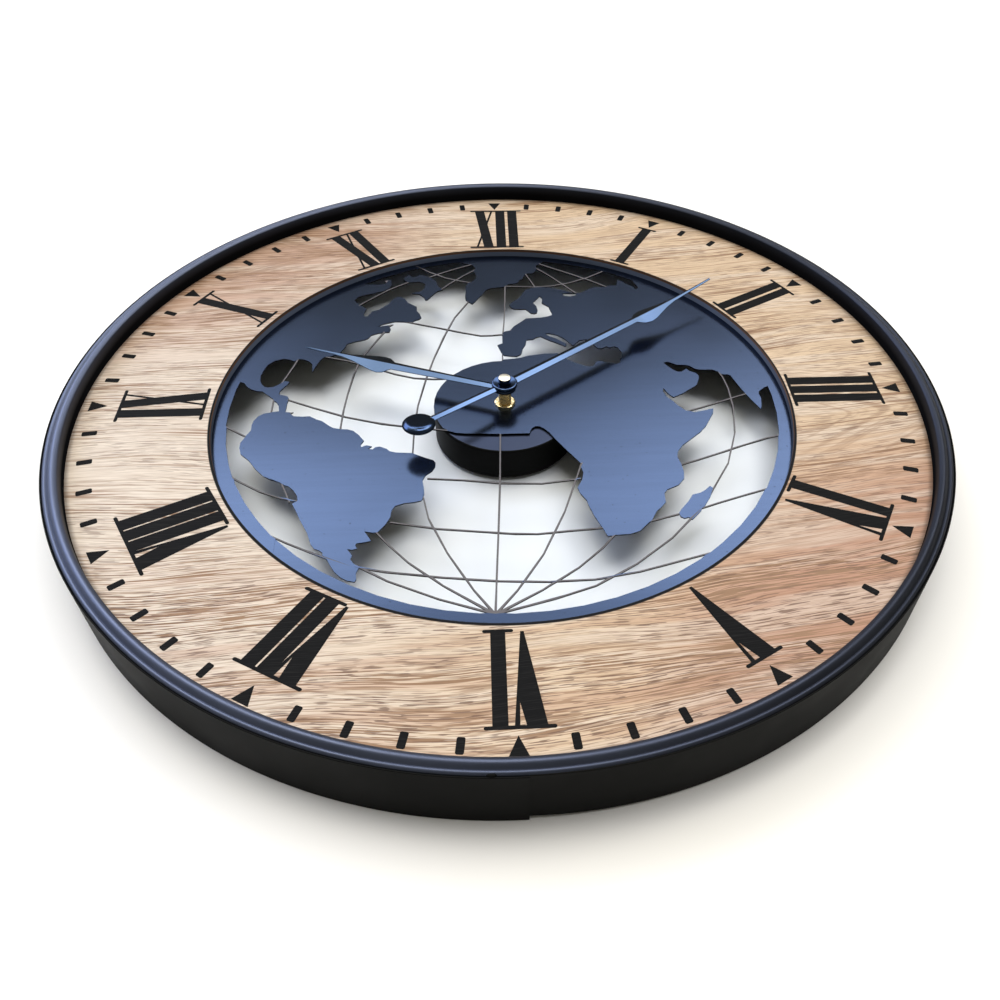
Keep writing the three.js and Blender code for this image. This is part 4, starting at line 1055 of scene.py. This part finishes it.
def build_cap():
    """A low domed nut, bare brass on top and enamelled round its side."""
    bottom, top = heights("cap_nut")
    radius = radii("cap_nut")[1]
    edge_centre = (radius - CAP_EDGE, top - CAP_DOME - CAP_EDGE)
    edge = arc(edge_centre, CAP_EDGE, 0, CAP_EDGE_END_DEG, CAP_EDGE_STEPS)
    profile = [(0, bottom + CAP_BORE_DEPTH), (CAP_BORE, bottom + CAP_BORE_DEPTH), (CAP_BORE, bottom),
               (radius - CAP_BEVEL, bottom), (radius, bottom + CAP_BEVEL), *edge,
               (radius * CAP_SHOULDER_SHARE, top - CAP_DOME * CAP_SHOULDER_DROP), (0, top)]
    cap = lathe("cap_skin", profile, SMALL_ROUND, materials["hand_gloss"])
    paint_tops(cap, materials["cap_brass"], CAP_TOP_FACING)
    place(cap, "minute_body", ["cap_nut"])


# Hands: creased sheet, drawn towards +Y in millimetres and then turned to their angle

HAND_SHEET = 0.6
HAND_SHARP_DEG = 12
BLADE_STEP = 2.0
HOUR_ANGLE_DEG = 290.3
MINUTE_ANGLE_DEG = 52.9
# Stations: distance from the axis, half width, height of the crease
HOUR_STATIONS = [
    (0, 2.5, 1.2), (40, 3.2, 1.3), (84, 4.0, 1.4), (86, 5.6, 1.6), (89, 8.2, 2.2), (93, 9.1, 2.4),
    (98, 8.4, 2.2), (106, 5.9, 1.7), (114, 3.4, 1.2), (122, 1.8, 0.8), (130, 1.1, 0.5), (152, 0.6, 0.3),
]
MINUTE_STATIONS = [
    (0, 3.8, 1.2), (60, 3.5, 1.2), (125.5, 3.0, 1.2), (127.5, 4.4, 1.7), (131, 6.8, 2.3), (137, 8.0, 2.7),
    (143, 7.2, 2.5), (150, 5.2, 1.9), (158, 3.2, 1.2), (166, 1.9, 0.7), (178, 1.4, 0.5), (208, 0.8, 0.3),
]
TAIL_STATIONS = [(0, 2.8, 1.0), (72, 2.3, 1.0)]
TAIL_RISE = 2.0
TIP_RISE = 3.0
TIP_RISE_START = 137.0


def between_stations(stations, distance):
    """Half width and crease height at a distance, on straight lines between the stations."""
    for before, after in zip(stations, stations[1:]):
        if distance <= after[0]:
            share = (distance - before[0]) / (after[0] - before[0])
            return [first + (second - first) * share for first, second in zip(before[1:], after[1:])]
    return stations[-1][1:]


def add_blade(draft, stations, ridge, direction, lift):
    """A bent strip along the Y axis; direction is +1 for a blade and -1 for a tail."""
    steps = range(int(stations[-1][0] // BLADE_STEP))
    distances = sorted({*[station[0] for station in stations], *[step * BLADE_STEP for step in steps]})
    rows = []
    for distance in distances:
        half, crease = between_stations(stations, distance)
        top = ridge + lift(distance)
        upper = [(-half, top - crease), (0, top), (half, top - crease)]
        lower = [(x, z - HAND_SHEET) for x, z in reversed(upper)]
        rows.append([draft.verts.new((x * direction * MM, distance * direction * MM, z * MM))
                     for x, z in upper + lower])
    for row, after in zip(rows, rows[1:]):
        for this in range(len(row)):
            following = (this + 1) % len(row)
            draft.faces.new((row[this], row[following], after[following], after[this]))
    draft.faces.new(rows[-1])
    draft.faces.new(reversed(rows[0]))


def straight(distance):
    return 0.0


def rising_tip(distance):
    beyond = max(0.0, distance - TIP_RISE_START) / (MINUTE_STATIONS[-1][0] - TIP_RISE_START)
    return TIP_RISE * beyond * beyond


def rising_tail(distance):
    return TAIL_RISE * distance / BOB_PLACE


HUB_EDGE = 1.1 * MM
HUB_EDGE_STEPS = 6
HUB_BEVEL = 0.3 * MM
HUB_DISH = 0.9 * MM
HUB_LIP = 0.2 * MM


def hub_profile(bore, radius, bottom, top):
    """A disc with a rounded upper edge, dished towards its bore."""
    rounded = arc((radius - HUB_EDGE, top - HUB_EDGE), HUB_EDGE, 0, 90, HUB_EDGE_STEPS)
    return [(bore, bottom), (radius - HUB_BEVEL, bottom), (radius, bottom + HUB_BEVEL), *rounded,
            (bore + HUB_BEVEL, top - HUB_DISH), (bore, top - HUB_DISH - HUB_LIP)]


BOB_PLACE = 72.0
BOB_RADIUS = 11.0
BOB_FOOT = 1.4
BOB_FOOT_SHARE = 0.96
BOB_EDGE = 0.6
BOB_DOME = 1.9
BOB_RINGS = 12
BOB_TILT = 0.2
# Direction in the hand's own frame towards which the bob's face is raised
BOB_RAISED = (0.8, -0.6)
# Powers of the distance from the bob's middle, at which its dome falls and its dents fade
BOB_FALL = 6
DENT_FADE = 4
DENT_DEPTH = 0.015
DENT_WAVES = (0.9, 1.1)
DENT_PHASE = 1
DENT_SLANT = (1.7, 0.6)


def dents(x, y):
    """Uneven hammering, from about -2 to 2."""
    square = math.sin(x * DENT_WAVES[0]) * math.sin(y * DENT_WAVES[1] + DENT_PHASE)
    return square + math.sin(x * DENT_SLANT[0] + y * DENT_SLANT[1])


def add_bob(draft, level):
    """A hand-beaten dome on the end of the tail."""
    radius = BOB_RADIUS * MM
    foot = (level - BOB_FOOT) * MM
    shoulder = foot + BOB_EDGE * MM
    shares = [ring / BOB_RINGS for ring in range(BOB_RINGS, 0, -1)]
    dome = [(radius * share, shoulder + BOB_DOME * MM * (1 - share ** BOB_FALL)) for share in shares]
    profile = [(0, foot), (radius * BOB_FOOT_SHARE, foot), *dome, (0, shoulder + BOB_DOME * MM)]
    before = len(draft.verts)
    add_lathe(draft, profile, SMALL_ROUND, (0, -BOB_PLACE * MM))
    draft.verts.ensure_lookup_table()
    for vertex in draft.verts[before:]:
        if vertex.co.z <= shoulder:
            continue
        x, y = vertex.co.x / MM, vertex.co.y / MM
        inside = 1 - (math.hypot(x, y + BOB_PLACE) / BOB_RADIUS) ** DENT_FADE
        raised = BOB_RAISED[0] * x + BOB_RAISED[1] * (y + BOB_PLACE)
        vertex.co.z += (DENT_DEPTH * dents(x, y) + BOB_TILT * raised) * inside * MM


def turn_clockwise(draft, degrees):
    angle = -math.radians(degrees)
    cosine, sine = math.cos(angle), math.sin(angle)
    for vertex in draft.verts:
        x, y = vertex.co.x, vertex.co.y
        vertex.co.x, vertex.co.y = x * cosine - y * sine, x * sine + y * cosine


# Part of the hour hand, by distance from the axis, whose lowest point is the foot of its hub
HOUR_HUB_SPAN = (5 * MM, 9 * MM)
HOUR_HUB_BORE = 2.55 * MM
HOUR_HUB_RADIUS = 8 * MM
HOUR_RIDGE_SHARE = 0.6


def build_hour_hand():
    near, far = HOUR_HUB_SPAN
    hub_bottom = min(vertex.co.z for vertex in nodes["hour_hand"].data.vertices
                     if near < math.hypot(vertex.co.x, vertex.co.y) < far)
    hub_top = heights("hour_hand")[1]
    ridge = (hub_bottom + (hub_top - hub_bottom) * HOUR_RIDGE_SHARE) / MM
    draft = bmesh.new()
    add_blade(draft, HOUR_STATIONS, ridge, 1, straight)
    turn_clockwise(draft, HOUR_ANGLE_DEG)
    add_lathe(draft, hub_profile(HOUR_HUB_BORE, HOUR_HUB_RADIUS, hub_bottom, hub_top), SMALL_ROUND)
    hand = finish_mesh("hour_hand_skin", draft, materials["hand_gloss"], HAND_SHARP_DEG)
    place(hand, "hour_body", ["hour_hand"])


MINUTE_HUB_BORE = 1.55 * MM
MINUTE_HUB_RADIUS = 9 * MM
MINUTE_HUB_HEIGHT = 2.3 * MM
MINUTE_RIDGE_HEIGHT = 1.15 * MM


def build_minute_hand():
    hub_top = heights("cap_nut")[0]
    hub_bottom = hub_top - MINUTE_HUB_HEIGHT
    ridge = (hub_bottom + MINUTE_RIDGE_HEIGHT) / MM
    draft = bmesh.new()
    add_blade(draft, MINUTE_STATIONS, ridge, 1, rising_tip)
    add_blade(draft, TAIL_STATIONS, ridge, -1, rising_tail)
    add_bob(draft, ridge + TAIL_RISE)
    turn_clockwise(draft, MINUTE_ANGLE_DEG)
    add_lathe(draft, hub_profile(MINUTE_HUB_BORE, MINUTE_HUB_RADIUS, hub_bottom, hub_top), SMALL_ROUND)
    hand = finish_mesh("minute_hand_skin", draft, materials["hand_gloss"], HAND_SHARP_DEG)
    place(hand, "minute_body", ["minute_hand"])


# Small screws on the back

SCREW_RADIUS = 2.6 * MM
SCREW_HEIGHT = 1.4 * MM
SCREW_EDGE_SHARE = 0.35
SCREW_DOME_DEG = range(15, 91, 15)
SCREW_ROUND = 20
CLIPS = 6
CLIP_SHEET = 1.2 * MM
CLIP_SCREW_INSET = 9 * MM
PLATE_SCREWS = 8


def add_screw(draft, x, y, z):
    """A pan head that faces down."""
    dome = []
    for degrees in SCREW_DOME_DEG:
        angle = math.radians(degrees)
        drop = SCREW_EDGE_SHARE + (1 - SCREW_EDGE_SHARE) * math.cos(angle)
        dome.append((SCREW_RADIUS * math.sin(angle), z - SCREW_HEIGHT * drop))
    add_lathe(draft, [(0, z - SCREW_HEIGHT), *dome, (SCREW_RADIUS, z), (0, z)], SCREW_ROUND, (x, y))


def build_screws():
    draft = bmesh.new()
    for number in range(1, CLIPS + 1):
        low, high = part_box(f"board_clip_{number}")
        middle = (low + high) / 2
        away = Vector((middle.x, middle.y, 0)).normalized() * (board_radius - CLIP_SCREW_INSET)
        add_screw(draft, away.x, away.y, dial_bottom - CLIP_SHEET)
    reach = (opening_radius + plate_radius) / 2
    for number in range(PLATE_SCREWS):
        angle = FULL_TURN * (number + 0.5) / PLATE_SCREWS
        add_screw(draft, reach * math.cos(angle), reach * math.sin(angle), plate_bottom)
    place(finish_mesh("back_screws", draft, materials["steel"]))


# Studio

# Area lights: place, width and height, watts, colour.
# The hands' near facets mirror the left and the right one.
LIGHTS = {
    "overhead": ((1.05, 0.6, 6.0), (3.2, 4.8), 226, (0.99, 0.975, 0.965)),
    "left": ((-1.9, 1.8, 6.0), (2.7, 4.0), 158, (1.0, 0.94, 0.8)),
    "right": ((3.0, 3.05, 6.0), (2.3, 2.0), 70, (1.0, 0.94, 0.8)),
}


def make_light(name, light_place, size, watts, color):
    """A rectangular area light that faces the clock."""
    data = bpy.data.lights.new(name, "AREA")
    data.energy = watts
    data.color = color
    data.shape = "RECTANGLE"
    data.size, data.size_y = size
    light = bpy.data.objects.new(name, data)
    light.location = light_place
    light.rotation_euler = (-Vector(light_place)).to_track_quat("-Z", "Y").to_euler()
    bpy.context.scene.collection.objects.link(light)


# The room. Spans are parts of a unit vector that points from the clock into the room.
BACKDROP = (0.84, 0.84, 0.83)
ROOM_LOW_WALLS = (0.12, 0.114, 0.095)
ROOM_WALLS = (0.4, 0.38, 0.33)
ROOM_WALL_RISE = (0.46, 0.58)
ROOM_CEILING = (0.105, 0.1, 0.088)
ROOM_CEILING_RISE = (0.55, 0.9)
ROOM_FRONT = (0.1, 0.3)
PANEL = (3.86, 4.08, 4.5)
PANEL_RISE = (0.64, 0.712)
PANEL_END = (0.81, 0.73)
PANEL_LEFT = (-0.6, -0.45)
PANEL_RIGHT = (0.55, 0.4)
PANEL_SPREAD = 0.27
PANEL_SLANT = 0.05
WINDOW = (3.0, 3.4, 4.5)
WINDOW_RISE = (0.22, 0.36)
WINDOW_END = (0.72, 0.58)
WINDOW_RIGHT = (-0.26, -0.4)


def make_world():
    """Grey walls, dark below, and a dark ceiling.

    A bright panel hangs high beyond 12 o'clock, with a window to its left.
    """
    world = bpy.data.worlds.new("studio")
    room = Tree(world)
    x, y, z = room.separate(room.add("ShaderNodeTexCoord").outputs["Generated"])
    front = room.ramp(y, *ROOM_FRONT)
    # The panel's lower edge hangs lowest at both ends, and a little lower on the right than on the left.
    raised = room.calculate("MULTIPLY_ADD", room.calculate("ABSOLUTE", x), PANEL_SPREAD, z)
    raised = room.calculate("MULTIPLY_ADD", x, PANEL_SLANT, raised)
    panel = room.multiply(room.ramp(raised, *PANEL_RISE), room.ramp(z, *PANEL_END),
                          room.ramp(x, *PANEL_LEFT), room.ramp(x, *PANEL_RIGHT), front)
    window = room.multiply(room.ramp(z, *WINDOW_RISE), room.ramp(z, *WINDOW_END),
                           room.ramp(x, *WINDOW_RIGHT), front)
    color = room.mix(room.ramp(z, *ROOM_WALL_RISE), ROOM_LOW_WALLS, ROOM_WALLS)
    color = room.mix(room.ramp(z, *ROOM_CEILING_RISE), color, ROOM_CEILING)
    color = room.mix(window, color, WINDOW)
    color = room.mix(panel, color, PANEL)
    # The room lights the clock and is mirrored in it; seen past the clock it is a plain pale backdrop.
    seen = room.add("ShaderNodeLightPath").outputs["Is Camera Ray"]
    room.feed(room.tree.nodes["Background"].inputs["Color"], room.mix(seen, color, BACKDROP))
    bpy.context.scene.world = world
    bpy.context.scene.view_settings.view_transform = "Standard"


FLOOR_HALF = 4.0
FLOOR_DROP = 0.5 * MM


def build_studio():
    draft = bmesh.new()
    signs = ((-1, -1), (1, -1), (1, 1), (-1, 1))
    draft.faces.new([draft.verts.new((x * FLOOR_HALF, y * FLOOR_HALF, -FLOOR_DROP)) for x, y in signs])
    finish_mesh("studio_floor", draft, materials["floor"])
    for name, settings in LIGHTS.items():
        make_light(name, *settings)
    make_world()


def dress_nodes():
    """Every solid that still shows gets the material of its slot."""
    slot_of = {part["node"]: part["material_slot"] for part in frame["record"]["subparts"]}
    for name, piece in nodes.items():
        piece.data.materials.clear()
        piece.data.materials.append(materials[slot_of[name]])


make_camera()
dress_nodes()
build_rim()
build_band()
build_board()
build_print()
build_map()
build_cup()
build_bush()
build_nut()
build_cap()
build_hour_hand()
build_minute_hand()
build_screws()
build_studio()
